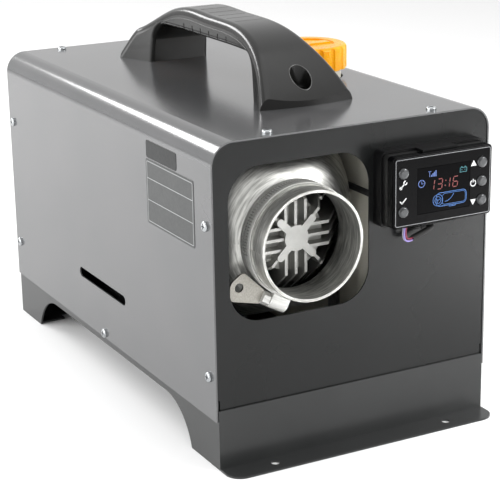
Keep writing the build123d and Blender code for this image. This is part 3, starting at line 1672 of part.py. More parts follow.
# ---- Controller: cradle, case halves, board, window and buttons -----------
back_start = holder_wall + holder_gap
bezel_start = back_start + controller_back_depth
face_at = bezel_start + bezel_depth
holder_width = controller_width + 2 * holder_rim
holder_height = controller_height + 2 * holder_rim
back_width = holder_width - 2 * holder_side - 2 * fit_gap
back_height = holder_height - 2 * holder_side - 2 * fit_gap
lead_entry_x = controller_x - lead_entry_shift
with BuildPart() as controller_holder:
    with BuildSketch(upright(panel_face_y)):
        with Locations((controller_x, controller_z)):
            RectangleRounded(holder_width, holder_height, holder_corner)
    extrude(amount=holder_depth)
    with BuildSketch(upright(ahead(holder_wall))):
        with Locations((controller_x, controller_z)):
            RectangleRounded(
                holder_width - 2 * holder_side,
                holder_height - 2 * holder_side,
                holder_corner - holder_side,
            )
    extrude(amount=holder_depth, mode=Mode.SUBTRACT)
    # Snap tab at the middle of the top and of the bottom edge
    for side in (-1, 1):
        tab_z = controller_z + side * (holder_height - holder_side) / 2
        with BuildSketch(upright(ahead(holder_wall))):
            with Locations((controller_x, tab_z)):
                Rectangle(tab_width, holder_side)
        extrude(amount=bezel_start + tab_reach - holder_wall)
    # Gap in the bottom rim for the wires, and the two screw holes
    with BuildSketch(upright(ahead(holder_wall))):
        with Locations((lead_entry_x, controller_z - holder_height / 2)):
            Rectangle(wire_gap_width, 3 * holder_side)
    extrude(amount=holder_depth, mode=Mode.SUBTRACT)
    with BuildSketch(upright(panel_face_y)):
        with Locations(
            (controller_x - holder_screw_x, controller_z),
            (controller_x + holder_screw_x, controller_z),
        ):
            Circle(clearance_r)
    extrude(amount=holder_wall, mode=Mode.SUBTRACT)
save(controller_holder, "controller_holder")

board_at = bezel_start - board_set_back
post_x = back_width / 2 - post_inset_x
post_z = back_height / 2 - post_inset_z
with BuildPart() as controller_back:
    with BuildSketch(upright(ahead(back_start))):
        with Locations((controller_x, controller_z)):
            RectangleRounded(back_width, back_height, holder_corner - holder_side)
    extrude(amount=controller_back_depth)
    with BuildSketch(upright(ahead(back_start + case_wall))):
        with Locations((controller_x, controller_z)):
            Rectangle(back_width - 2 * case_wall, back_height - 2 * case_wall)
    extrude(amount=controller_back_depth, mode=Mode.SUBTRACT)
    with BuildSketch(upright(ahead(back_start + case_wall))):
        with Locations((controller_x, controller_z)):
            with GridLocations(2 * post_x, 2 * post_z, 2, 2):
                Circle(post_r)
    extrude(amount=board_at - back_start - case_wall)
    with BuildSketch(Plane.XY.offset(controller_z - back_height / 2)):
        with Locations((lead_entry_x, ahead(wire_at))):
            Circle(wire_hole_r)
    extrude(amount=case_wall, mode=Mode.SUBTRACT)
save(controller_back, "controller_back")

button_spots = {
    "button_menu": (controller_x - left_button_x, controller_z + button_rise_left),
    "button_ok": (controller_x - left_button_x, controller_z - button_drop),
    "button_up": (controller_x + right_button_x, controller_z + button_drop),
    "button_power": (controller_x + right_button_x, controller_z),
    "button_down": (controller_x + right_button_x, controller_z - button_drop),
}
display_x = controller_x + display_shift_x
display_z = controller_z + display_shift_z
with BuildPart() as controller_bezel:
    with BuildSketch(upright(ahead(bezel_start))):
        with Locations((controller_x, controller_z)):
            RectangleRounded(controller_width, controller_height, bezel_corner)
    extrude(amount=bezel_depth)
    fillet(controller_bezel.edges().group_by(Axis.Y)[0], bezel_round)
    with BuildSketch(upright(ahead(bezel_start))):
        with Locations((controller_x, controller_z)):
            Rectangle(controller_width - 2 * bezel_wall, controller_height - 2 * bezel_wall)
    extrude(amount=bezel_depth - bezel_wall, mode=Mode.SUBTRACT)
    with BuildSketch(upright(ahead(bezel_start))):
        with Locations((display_x, display_z)):
            Rectangle(display_width, display_height)
        with Locations(*button_spots.values()):
            Circle(button_r + fit_gap)
    extrude(amount=bezel_depth, mode=Mode.SUBTRACT)
save(controller_bezel, "controller_bezel")

module_front = face_at - bezel_wall - module_gap
with BuildPart() as display_window:
    with BuildSketch(upright(ahead(module_front))):
        with Locations((display_x, display_z)):
            Rectangle(display_width - 2 * fit_gap, display_height - 2 * fit_gap)
    extrude(amount=face_at - module_front - window_set_back)
save(display_window, "display_window")

stem_end = face_at - bezel_wall - fit_gap - button_flange - button_stem
with BuildPart() as controller_board:
    with BuildSketch(upright(ahead(board_at))):
        with Locations((controller_x, controller_z)):
            Rectangle(
                back_width - 2 * case_wall - 2 * board_gap,
                back_height - 2 * case_wall - 2 * board_gap,
            )
    extrude(amount=board_sheet)
    with BuildSketch(upright(ahead(board_at + board_sheet))):
        with Locations((display_x, display_z)):
            Rectangle(display_width - 2 * module_margin, display_height - 2 * module_margin)
    extrude(amount=module_front - board_at - board_sheet)
    # One tact switch behind each button, its plunger short of the stem
    for spot in button_spots.values():
        with BuildSketch(upright(ahead(board_at + board_sheet))):
            with Locations(spot):
                Rectangle(switch_size, switch_size)
        extrude(amount=switch_height)
        with BuildSketch(upright(ahead(board_at + board_sheet))):
            with Locations(spot):
                Circle(plunger_r)
        extrude(amount=stem_end - button_travel - plunger_gap - board_at - board_sheet)
save(controller_board, "controller_board")

for name, spot in button_spots.items():
    with BuildPart() as button:
        with BuildSketch(upright(ahead(stem_end))):
            with Locations(spot):
                Circle(button_stem_r)
        extrude(amount=button_stem)
        with BuildSketch(upright(ahead(stem_end + button_stem))):
            with Locations(spot):
                Circle(button_r + button_flange_rim)
        extrude(amount=button_flange)
        with BuildSketch(upright(ahead(stem_end + button_stem))):
            with Locations(spot):
                Circle(button_r)
        extrude(amount=face_at + button_dome - stem_end - button_stem)
        fillet(button.edges().group_by(Axis.Y)[0], button_dome)
    save(button, name)

# ---- Lead between the panel's grommet and the controller ------------------
with BuildPart() as panel_grommet:
    for start, length, radius in (
        (-sheet - grommet_lip, grommet_lip, grommet_hole_r + grommet_rim),
        (-sheet, sheet, grommet_hole_r - press_gap),
        (0.0, grommet_lip, grommet_hole_r + grommet_rim),
    ):
        with BuildSketch(upright(ahead(start))):
            with Locations((grommet_x, grommet_z)):
                Circle(radius)
                Circle(lead_r + lead_gap, mode=Mode.SUBTRACT)
        extrude(amount=length)
save(panel_grommet, "panel_grommet")

jacket_end = (lead_entry_x + lead_end_shift, ahead(wire_at), grommet_z - lead_drop)
lead_points = [
    (grommet_x, lead_join_y, grommet_z),
    (grommet_x, ahead(wire_at), grommet_z),
    jacket_end,
]
with BuildPart() as controller_lead:
    add(pipe_along(lead_points, [lead_bend], lead_r))
save(controller_lead, "controller_lead")

with BuildPart() as lead_wires:
    run_x = jacket_end[0] - grommet_x
    run_z = jacket_end[2] - grommet_z
    run = hypot(run_x, run_z)
    entry_z = controller_z - back_height / 2 + case_wall
    # Two wires run on the inside of the loop (+1) and two on its outside (-1)
    for side_y, side_n in ((-1, -1), (1, -1), (-1, 1), (1, 1)):
        shift_y = side_y * core_pitch / 2
        shift_n = side_n * core_pitch / 2
        wire_y = ahead(wire_at) + shift_y
        start_x = jacket_end[0] + run_z / run * shift_n
        start_z = jacket_end[2] - run_x / run * shift_n
        reach = wire_loop - shift_n
        add(pipe_along(
            [
                (start_x, wire_y, start_z),
                (start_x + run_x / run * reach, wire_y, start_z + run_z / run * reach),
                (lead_entry_x - wire_bulge + shift_n, wire_y, (start_z + entry_z) / 2),
                (lead_entry_x + shift_n, wire_y, entry_z),
            ],
            [wire_loop_bend - shift_n, wire_loop_bend],
            core_wire_r,
        ))
save(lead_wires, "lead_wires")

# ---- Rear grille and cable gland ------------------------------------------
with BuildPart() as rear_grille:
    with BuildSketch(upright(rear_face_y)):
        with Locations((outlet_x, outlet_z)):
            Circle(grille_r)
            Circle(inlet_hole_r - grille_overlap, mode=Mode.SUBTRACT)
            for ring in reversed(range(grille_rings)):
                ring_r = grille_hub_r + (ring + 1) * grille_ring_pitch
                Circle(ring_r)
                Circle(ring_r - grille_bar, mode=Mode.SUBTRACT)
            Circle(grille_hub_r)
        for turn in (0, 45, 90, 135):
            with Locations(Location((outlet_x, outlet_z), turn)):
                Rectangle(2 * inlet_hole_r, grille_spoke)
        with Locations(*grille_spots):
            Circle(clearance_r, mode=Mode.SUBTRACT)
    extrude(amount=-grille_thickness)
save(rear_grille, "rear_grille")

with BuildPart() as power_gland:
    with BuildSketch(upright(gland_in_y - gland_nut)):
        with Locations((gland_x, gland_z)):
            RegularPolygon(gland_r + gland_nut_rim, 6)
    extrude(amount=-gland_nut)
    with BuildSketch(upright(gland_in_y)):
        with Locations((gland_x, gland_z)):
            Circle(gland_r)
    extrude(amount=-(rear_face_y - gland_in_y))
    with BuildSketch(upright(rear_face_y)):
        with Locations((gland_x, gland_z)):
            RegularPolygon(gland_r + gland_hex_rim, 6)
    extrude(amount=-gland_reach / 2)
    with BuildSketch(upright(rear_face_y + gland_reach / 2)):
        with Locations((gland_x, gland_z)):
            Circle(gland_r)
    extrude(amount=-gland_reach / 2)
    fillet(power_gland.edges().group_by(Axis.Y)[-1], gland_round)
    with BuildSketch(upright(gland_in_y - gland_nut)):
        with Locations((gland_x, gland_z)):
            Circle(gland_bore_r)
    extrude(amount=-(gland_reach + gland_nut + sheet), mode=Mode.SUBTRACT)
save(power_gland, "power_gland")

# ---- Screws inside the case and on the grille -----------------------------
with BuildPart() as inner_screws:
    for (spot_x, spot_y), seat in (
        [(spot, bracket_sheet) for spot in bracket_screws + [clip_spot]]
        + [(spot, strap_sheet) for spot in strap_spots]
    ):
        with Locations((spot_x, spot_y, plate_top_z + seat)):
            add(case_screw)
    for spot_x, spot_z in grille_spots:
        with Locations(
            Plane((spot_x, rear_face_y + grille_thickness, spot_z), z_dir=(0, 1, 0))
        ):
            add(case_screw)
    for side in (-1, 1):
        spot_x = controller_x + side * holder_screw_x
        with Locations(Plane((spot_x, ahead(holder_wall), controller_z), z_dir=(0, -1, 0))):
            add(case_screw)
save(inner_screws, "inner_screws")
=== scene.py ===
# %% [markdown]
# # A diesel air heater, dressed for a studio picture
# The heater is a folded steel case with a carrying handle on top, a hot-air
# spigot in a rounded window, and a small display controller clipped beside it.
# The measured solids come in first as a fixed frame. Everything after that gives
# them their finishes and adds the thin things that solids leave out: wires,
# plates, printed signs and the lit display.

# %% Load the measured solids
import math

import bmesh
import bpy
from mathutils import Matrix, Quaternion, Vector, geometry
from mathutils.bvhtree import BVHTree


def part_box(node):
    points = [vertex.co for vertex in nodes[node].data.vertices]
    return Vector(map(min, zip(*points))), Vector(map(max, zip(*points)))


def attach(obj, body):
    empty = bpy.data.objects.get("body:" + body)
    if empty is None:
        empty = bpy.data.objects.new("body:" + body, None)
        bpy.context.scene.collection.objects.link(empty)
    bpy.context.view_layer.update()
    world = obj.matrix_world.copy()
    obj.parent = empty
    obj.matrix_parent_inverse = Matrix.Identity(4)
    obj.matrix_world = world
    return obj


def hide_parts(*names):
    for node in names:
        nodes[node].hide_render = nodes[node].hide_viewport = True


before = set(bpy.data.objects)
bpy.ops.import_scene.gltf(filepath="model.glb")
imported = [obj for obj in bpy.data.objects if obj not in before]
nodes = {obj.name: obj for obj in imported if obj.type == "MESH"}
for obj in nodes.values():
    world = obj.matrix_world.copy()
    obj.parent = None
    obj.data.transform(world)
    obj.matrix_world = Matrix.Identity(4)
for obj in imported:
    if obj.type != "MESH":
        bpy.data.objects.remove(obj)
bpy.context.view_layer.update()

# %% [markdown]
# ## The camera
# The picture was taken from the front left and a little above, with a long lens
# that keeps the case's edges nearly parallel. A camera set by eye is soon a few
# pixels off. This one's place and lens follow from where the case's corners lie in
# the picture, so every solid lands where the picture has it.

# %% Camera at the picture's viewpoint
picture_width_px = 500
focal_px = 1612.37
sensor_mm = 36.0
roll_degrees = -1.0243
camera_data = bpy.data.cameras.new("studio_camera")
camera_data.sensor_width = sensor_mm
camera_data.lens = focal_px * sensor_mm / picture_width_px
camera_data.clip_start = 0.05
camera_data.clip_end = 50.0
camera = bpy.data.objects.new("studio_camera", camera_data)
bpy.context.scene.collection.objects.link(camera)
camera.location = (-0.582539, -1.135984, 0.495079)
looking = Vector((0.444996, 0.845922, -0.293931))
roll = Quaternion((0, 0, 1), math.radians(roll_degrees))
camera.rotation_mode = "QUATERNION"
camera.rotation_quaternion = looking.to_track_quat("-Z", "Y") @ roll
bpy.context.scene.camera = camera
print("lens:", round(camera_data.lens, 2), "mm")

# %% [markdown]
# ## Helpers for materials
# Colours are picked on screen as sRGB hex values, but shaders add up light in
# linear values, so one function converts them. A second one adds a node, sets its
# options and fills its sockets, either with a plain value or with a link. A third
# starts a material that reads places on the piece itself, so its pattern stays on
# the piece wherever it moves.

# %% Colour, node and material helpers
def linear(hex_colour):
    """Linear RGBA of an sRGB hex colour such as #2f3030."""
    channels = [int(hex_colour[at:at + 2], 16) / 255 for at in (1, 3, 5)]
    light = [c / 12.92 if c <= 0.04045 else ((c + 0.055) / 1.055) ** 2.4 for c in channels]
    return (*light, 1.0)


def add_node(tree, kind, sockets=None, **settings):
    """Add one node; a socket's entry is a plain value or another node's output."""
    fresh = tree.nodes.new(kind)
    for name, value in settings.items():
        setattr(fresh, name, value)
    for name, value in (sockets or {}).items():
        if isinstance(value, bpy.types.NodeSocket):
            tree.links.new(value, fresh.inputs[name])
        else:
            fresh.inputs[name].default_value = value
    return fresh


def start_material(name, sockets):
    """New material with one Principled shader; returns it, its tree, shader and place."""
    material = bpy.data.materials.new(name)
    material.use_nodes = True
    tree = material.node_tree
    tree.nodes.clear()
    shader = add_node(tree, "ShaderNodeBsdfPrincipled", sockets)
    add_node(tree, "ShaderNodeOutputMaterial", {"Surface": shader.outputs["BSDF"]})
    place = add_node(tree, "ShaderNodeTexCoord").outputs["Object"]
    return material, tree, shader, place


print("#2f3030 is", [round(v, 4) for v in linear("#2f3030")[:3]], "in linear values")

# %% [markdown]
# ## Grain and mottle
# No real surface has one colour or is quite smooth. Close up it has a fine grain
# that spreads its highlights, and further away it drifts between two close
# colours. Pictures of surfaces could show both, but noise never repeats and stays
# sharp, and its scale can be told as a real size in millimetres. A grain finer
# than half a millimetre would vanish in the picture, so none is drawn finer.

# %% Grain and mottle from real sizes
MM = 0.001


def per_metre(size_mm):
    """Texture scale that gives features of this size, for places in metres."""
    return 1.0 / (size_mm * MM)


def grain(tree, shader, place, size_mm, height_mm, roughness=None, detail=2.0):
    """Fine bumps of one real size, and with them a small swing in roughness."""
    noise = add_node(
        tree, "ShaderNodeTexNoise",
        {"Vector": place, "Scale": per_metre(size_mm), "Detail": detail, "Roughness": 0.55},
    )
    bump = add_node(
        tree, "ShaderNodeBump",
        {"Height": noise.outputs["Fac"], "Distance": height_mm * MM, "Strength": 1.0},
    )
    tree.links.new(bump.outputs["Normal"], shader.inputs["Normal"])
    if roughness:
        # Nearly all of the noise lies between 0.3 and 0.7
        swing = add_node(
            tree, "ShaderNodeMapRange",
            {"Value": noise.outputs["Fac"], "From Min": 0.3, "From Max": 0.7,
             "To Min": roughness[0], "To Max": roughness[1]},
        )
        tree.links.new(swing.outputs["Result"], shader.inputs["Roughness"])


def mottle(tree, shader, place, dark, light, size_mm):
    """Slow drift between two close colours, in patches of one real size."""
    clouds = add_node(
        tree, "ShaderNodeTexNoise",
        {"Vector": place, "Scale": per_metre(size_mm), "Detail": 3.0, "Roughness": 0.5},
    )
    ramp = add_node(tree, "ShaderNodeValToRGB", {"Fac": clouds.outputs["Fac"]})
    ramp.color_ramp.elements[0].position = 0.35
    ramp.color_ramp.elements[0].color = linear(dark)
    ramp.color_ramp.elements[1].position = 0.65
    ramp.color_ramp.elements[1].color = linear(light)
    tree.links.new(ramp.outputs["Color"], shader.inputs["Base Color"])


print("a grain of 0.5 mm is a texture scale of", round(per_metre(0.5)))

# %% [markdown]
# ## Case paint
# The case is sheet steel with a baked anthracite enamel. The colour itself is
# dark; the sides look pale mostly because the hard, smooth layer mirrors the
# studio. Sprayed enamel is never flat: it keeps a faint orange peel of shallow
# waves a few millimetres wide, which breaks the edges of reflections. The waves
# are only microns high, so a bump that turns the light does for them what a finer
# mesh would. The whole case has the same enamel, but the cover is given a lighter
# copy of its colour and the end panels and the base darker ones: painted light and
# painted shade. The panels and the base are also set less glossy.

# %% Baked anthracite enamel
def baked_enamel(name, dark, light, roughness, gloss):
    """Enamel over steel, with orange peel about 3 mm across."""
    material, tree, shader, place = start_material(
        name, {"Roughness": roughness, "IOR": 1.5, "Specular IOR Level": gloss},
    )
    mottle(tree, shader, place, dark, light, size_mm=60.0)
    grain(tree, shader, place, size_mm=3.0, height_mm=0.003)
    return material


# One enamel for the whole case: the cover's copy is painted lighter, the panels' and the tray's
# copies painted darker, as painted light and shade
cover_enamel_painted_light = baked_enamel("baked_enamel_cover_painted_light", "#444546", "#49494a", 0.16, 1.0)
panel_enamel_painted_shade = baked_enamel("baked_enamel_panels_painted_shade", "#151616", "#181919", 0.24, 0.26)
tray_enamel_painted_shade = baked_enamel("baked_enamel_tray_painted_shade", "#262727", "#2a2b2b", 0.26, 0.40)
print("enamels:", cover_enamel_painted_light.name, panel_enamel_painted_shade.name, tray_enamel_painted_shade.name)

# %% [markdown]
# ## Brushed steel
# The heater's shell and spigot are steel, brushed round the spigot's axis, so the
# scratches run in rings and smear highlights across them. A painted picture could
# be wrapped round each part. Here the noise itself is read in rings, by distance
# from the axis, depth and a slow turn, so it follows every step of the shell. The
# clamp is rolled from paler, duller strip. Its key is stamped, so its grain has no
# direction. Real scratches are finer; these are as coarse as they need to show.

# %% Ring-brushed steel
outlet_x = -46.0 * MM
outlet_z = 162.0 * MM
# A turn counts as 25 mm, so on the spigot a scratch is ten times longer than wide
metres_per_radian = 0.004


def ring_place(tree, place):
    """Place told as distance from the spigot's axis, depth, and a slow turn round it."""
    centred = add_node(
        tree, "ShaderNodeVectorMath", {0: place, 1: (outlet_x, 0.0, outlet_z)},
        operation="SUBTRACT",
    )
    split = add_node(tree, "ShaderNodeSeparateXYZ", {"Vector": centred.outputs["Vector"]})
    flat = add_node(
        tree, "ShaderNodeCombineXYZ", {"X": split.outputs["X"], "Y": split.outputs["Z"]}
    )
    reach = add_node(
        tree, "ShaderNodeVectorMath", {0: flat.outputs["Vector"]}, operation="LENGTH"
    )
    turn = add_node(
        tree, "ShaderNodeMath", {0: split.outputs["Z"], 1: split.outputs["X"]},
        operation="ARCTAN2",
    )
    slow_turn = add_node(
        tree, "ShaderNodeMath", {0: turn.outputs["Value"], 1: metres_per_radian},
        operation="MULTIPLY",
    )
    return add_node(
        tree, "ShaderNodeCombineXYZ",
        {"X": reach.outputs["Value"], "Y": split.outputs["Y"], "Z": slow_turn.outputs["Value"]},
    ).outputs["Vector"]


def brushed_steel(name, dark, light, roughness, in_rings=True):
    """Steel with scratches 0.5 mm apart, in rings round the spigot or without direction."""
    material, tree, shader, place = start_material(name, {"Metallic": 1.0})
    if in_rings:
        place = ring_place(tree, place)
    grain(tree, shader, place, 0.5, 0.004, roughness, detail=4.0)
    mottle(tree, shader, place, dark, light, size_mm=1.3)
    return material


shell_steel = brushed_steel("brushed_steel_shell", "#a0a09c", "#d9d9d5", (0.36, 0.54))
clamp_steel = brushed_steel("rolled_steel_clamp", "#cacac7", "#e0e0dd", (0.56, 0.70))
key_steel = brushed_steel(
    "stamped_steel_key", "#8c8a84", "#9d9a93", (0.34, 0.46), in_rings=False
)
print("brushed metals:", shell_steel.name, clamp_steel.name, key_steel.name)

# %% [markdown]
# ## Cast and plated metals
# The heat exchanger and its star are cast aluminium, blasted to an even, pale matt
# skin. Screws are zinc plated: smooth, a little blue and nearly a mirror. The other
# metal parts are galvanised sheet, and the tank's pickup is turned brass. Metals
# tint what they mirror, so their colour is all in the base colour.

# %% Cast aluminium, zinc, sheet steel and brass
def cast_aluminium(name, dark, light):
    """Aluminium from a blasted mould, with a shallow skin of 0.7 mm pebbles."""
    material, tree, shader, place = start_material(name, {"Metallic": 0.9})
    grain(tree, shader, place, 0.7, 0.010, (0.46, 0.56), detail=3.0)
    mottle(tree, shader, place, dark, light, size_mm=12.0)
    return material


def plated(name, dark, light, roughness):
    """Smooth plating that keeps the faint texture of the steel below it."""
    material, tree, shader, place = start_material(name, {"Metallic": 1.0})
    grain(tree, shader, place, 0.6, 0.002, roughness)
    mottle(tree, shader, place, dark, light, size_mm=4.0)
    return material


exchanger_aluminium = cast_aluminium("cast_aluminium_fins", "#a6a6a3", "#b2b2af")
housing_aluminium = cast_aluminium("cast_aluminium_housing", "#9b9c9b", "#adaead")
zinc_plate = plated("zinc_plated_screws", "#a4a7a9", "#b6b9bb", (0.14, 0.26))
sheet_steel = plated("galvanised_sheet", "#8d8f90", "#a3a5a6", (0.35, 0.50))
turned_brass = plated("turned_brass", "#b08a3e", "#c09a4c", (0.20, 0.30))
print("cast metals:", exchanger_aluminium.name, housing_aluminium.name)
print("plain metals:", zinc_plate.name, sheet_steel.name, turned_brass.name)

# %% [markdown]
# ## Plastics and rubber
# The handle is black glass-filled nylon from a spark-eroded mould, which leaves a
# fine, even grain. The controller's front is polished ABS with a coat against
# reflections, so it stays deep black and mirrors the brightest lights only. The
# filler cap is tinted polyethylene: light goes a few millimetres into it, which
# makes its ribs glow. A bright colour alone would look like paint, so for the cap
# and the tank each colour of light gets its own depth. The rest differs in
# numbers only, so one function makes them all.

# %% Moulded plastics
def moulded(name, dark, light, roughness, grain_mm, height_mm, extra=None):
    """Injection-moulded plastic with the grain of its mould."""
    material, tree, shader, place = start_material(name, {"IOR": 1.5, **(extra or {})})
    grain(tree, shader, place, grain_mm, height_mm, roughness)
    mottle(tree, shader, place, dark, light, size_mm=25.0)
    return material


def see_into(depth_mm, share):
    """Sockets of a plastic that light enters, by depth for red, green and blue."""
    return {
        "Subsurface Weight": share, "Subsurface Scale": 1.0,
        "Subsurface Radius": tuple(depth * MM for depth in depth_mm),
    }


handle_nylon = moulded("grained_nylon", "#121211", "#161615", (0.18, 0.26), 0.5, 0.003,
                       {"Specular IOR Level": 0.42})
black_abs = moulded("satin_abs", "#151515", "#191919", (0.30, 0.40), 0.8, 0.004)
bezel_abs = moulded("polished_abs", "#040405", "#060607", (0.06, 0.10), 2.5, 0.001,
                    {"Specular IOR Level": 0.06})
holder_abs = moulded("plain_abs_holder", "#080809", "#0c0c0d", (0.34, 0.44), 0.9, 0.004,
                     {"Specular IOR Level": 0.2})
button_plastic = moulded("satin_silver_caps", "#3f4041", "#4a4b4c", (0.16, 0.24), 1.2, 0.002,
                         {"Metallic": 0.7})
filter_plastic = moulded("clear_filter_body", "#9fa3a4", "#abafb0", (0.18, 0.26), 2.0, 0.003)
tank_polyethylene = moulded("blow_moulded_tank", "#cbc8bb", "#d6d3c7", (0.40, 0.52), 2.0, 0.02,
                            see_into((4.0, 4.0, 3.0), 0.15))
cap_polyethylene = moulded("tinted_cap", "#f9a200", "#ffae00", (0.24, 0.34), 1.5, 0.004,
                           {**see_into((5.0, 2.0, 0.2), 0.35), "Specular IOR Level": 0.3})
soft_rubber = moulded("black_rubber", "#161616", "#1c1c1c", (0.60, 0.75), 0.7, 0.01)
hose_rubber = moulded("green_fuel_hose", "#1d4a41", "#23574c", (0.45, 0.55), 1.0, 0.01)
board_lacquer = moulded("lacquered_board", "#123f26", "#16492d", (0.25, 0.35), 1.5, 0.01)
window_glass = moulded("smoked_window", "#010102", "#020203", (0.03, 0.05), 4.0, 0.0005,
                       {"Specular IOR Level": 0.04})
print("materials so far:", len(bpy.data.materials))

# %% [markdown]
# ## Which solid is made of what
# A solid takes its finish from its mesh's material slots. Each could be filled next
# to its material, but one table shows the whole heater at a glance, and what is
# missing from it can be printed.

# %% Give every solid its finish
finishes = {
    cover_enamel_painted_light: ["cover"],
    panel_enamel_painted_shade: ["front_panel", "rear_panel"],
    tray_enamel_painted_shade: ["base_tray"],
    zinc_plate: ["cover_screws", "inner_screws", "handle_screws", "handle_nuts", "bracket_nuts"],
    handle_nylon: ["handle"],
    tank_polyethylene: ["fuel_tank"],
    sheet_steel: ["tank_straps", "fuel_pump", "burner", "glow_plug", "motor", "heater_bracket",
                  "exhaust_pipe", "intake_pipe"],
    cap_polyethylene: ["fuel_cap"],
    soft_rubber: ["cap_seal", "pump_clip", "wiring", "burner_gasket", "foot_gasket",
                  "panel_grommet", "controller_lead", "lead_wires"],
    turned_brass: ["fuel_pickup"],
    filter_plastic: ["fuel_filter"],
    hose_rubber: ["fuel_hoses"],
    shell_steel: ["shell_upper", "shell_lower"],
    exchanger_aluminium: ["heat_exchanger"],
    housing_aluminium: ["blower_cover", "blower_housing", "combustion_impeller",
                        "mounting_foot"],
    black_abs: ["overheat_sensor", "fan_wheel", "control_unit", "controller_back",
                "rear_grille", "power_gland"],
    key_steel: ["wing_key", "motor_shaft", "motor_bearings"],
    clamp_steel: ["clamp_band", "clamp_housing", "clamp_screw"],
    holder_abs: ["controller_holder"],
    bezel_abs: ["controller_bezel"],
    window_glass: ["display_window"],
    board_lacquer: ["controller_board"],
    button_plastic: ["button_menu", "button_ok", "button_up", "button_power", "button_down"],
}
for finish, names in finishes.items():
    for name in names:
        nodes[name].data.materials.clear()
        nodes[name].data.materials.append(finish)
print("without a finish:", sorted(set(nodes) - {n for names in finishes.values() for n in names}))

# %% [markdown]
# ## Flat shapes for prints and plates
# Labels, signs and the display's segments are all thin, flat shapes. They could be
# painted on as pictures, but real shapes stay sharp from any distance. Each is laid
# out in millimetres on a drawing plane with a few strips, bands, discs and rounded
# plates, given a thickness, and only then set upright on its surface. Screen prints
# are about a twentieth of a millimetre thick, and label film a quarter.

# %% Strips, bands, discs and plates
def bar(form, start, end, width):
    """Flat strip between two points."""
    start, end = Vector(start), Vector(end)
    run = end - start
    made = bmesh.ops.create_grid(form, x_segments=1, y_segments=1, size=0.5)["verts"]
    shift = Matrix.Translation(((start + end) / 2).to_3d())
    turn = Matrix.Rotation(math.atan2(run.y, run.x), 4, "Z")
    bmesh.ops.transform(
        form, matrix=shift @ turn @ Matrix.Diagonal((run.length, width, 1, 1)), verts=made
    )


def band(form, centre, radius, width, start=0.0, end=360.0):
    """Flat curved strip round a centre, from one direction to another in degrees."""
    made = bmesh.ops.create_grid(form, x_segments=32, y_segments=1, size=0.5)["verts"]
    for corner in made:
        turn = math.radians(start + (corner.co.x + 0.5) * (end - start))
        reach = radius + corner.co.y * width
        corner.co = (centre[0] + reach * math.cos(turn), centre[1] + reach * math.sin(turn), 0)
    # A full turn closes where its two ends meet
    bmesh.ops.remove_doubles(form, verts=made, dist=0.001)


def disc(form, centre, radius, corners=24, turn=0.0):
    """Flat regular shape: a dot with many corners, a triangle with three."""
    made = bmesh.ops.create_circle(form, cap_ends=True, segments=corners, radius=radius)["verts"]
    shift = Matrix.Translation((*centre, 0))
    bmesh.ops.transform(
        form, matrix=shift @ Matrix.Rotation(math.radians(turn), 4, "Z"), verts=made
    )


def plate(form, centre, width, height, corner, line=0.0):
    """Rounded plate; with a line width it is only the frame line round the plate."""
    made = bmesh.ops.create_grid(form, x_segments=1, y_segments=1, size=0.5)["verts"]
    shift = Matrix.Translation((*centre, 0))
    bmesh.ops.transform(
        form, matrix=shift @ Matrix.Diagonal((width, height, 1, 1)), verts=made
    )
    bmesh.ops.bevel(
        form, geom=made, offset=corner, segments=6, profile=0.5, affect="VERTICES", material=-1
    )
    if line:
        face = next(f for f in form.faces if f.calc_area() > 0.5 * width * height)
        bmesh.ops.inset_region(
            form, faces=[face], thickness=line, use_boundary=True, use_even_offset=True
        )
        bmesh.ops.delete(form, geom=[face], context="FACES_ONLY")


sample_form = bmesh.new()
plate(sample_form, (0.0, 0.0), 10.0, 10.0, 2.0)
sample_area = sum(face.calc_area() for face in sample_form.faces)
sample_form.free()
print("a 10 mm plate with 2 mm corners covers", round(sample_area, 1), "square mm")

# %% Thickness, place and object of a drawing
def thicken(form, thickness):
    """Turn the flat drawing into a thin solid that rises from its plane."""
    rise = bmesh.ops.extrude_face_region(form, geom=form.faces[:])["geom"]
    tops = [item for item in rise if isinstance(item, bmesh.types.BMVert)]
    bmesh.ops.translate(form, vec=(0, 0, thickness), verts=tops)


def on_front(form, y_mm):
    """Stand a drawing up on a surface that faces the front, at this Y."""
    facing = Matrix(((1, 0, 0, 0), (0, 0, -1, y_mm), (0, 1, 0, 0), (0, 0, 0, 1)))
    bmesh.ops.transform(form, matrix=Matrix.Scale(MM, 4) @ facing, verts=form.verts)


def on_left(form, x_mm):
    """Stand a drawing up on a surface that faces left, at this X; its right is the front."""
    facing = Matrix(((0, 0, -1, x_mm), (-1, 0, 0, 0), (0, 1, 0, 0), (0, 0, 0, 1)))
    bmesh.ops.transform(form, matrix=Matrix.Scale(MM, 4) @ facing, verts=form.verts)


def set_piece(form, name, body, finish):
    """Make the finished shape an object that moves with a body of the heater."""
    bmesh.ops.recalc_face_normals(form, faces=form.faces)
    mesh = bpy.data.meshes.new(name)
    form.to_mesh(mesh)
    form.free()
    mesh.materials.append(finish)
    piece = bpy.data.objects.new(name, mesh)
    bpy.context.scene.collection.objects.link(piece)
    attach(piece, body)
    return piece


ink = 0.05
film = 0.25
print("screen print:", ink, "mm thick, label film:", film, "mm")

# %% [markdown]
# ## Labels on the left side
# Two bare, self-adhesive films sit on the cover, a small dark one above a large
# one. The large one is as grey as the enamel and shows by its lack of gloss, and by
# a thin pale frame that two cross lines divide into fields. The lines could be
# faces of the film with another colour, but as a thin layer of ink they need no
# cuts in it.

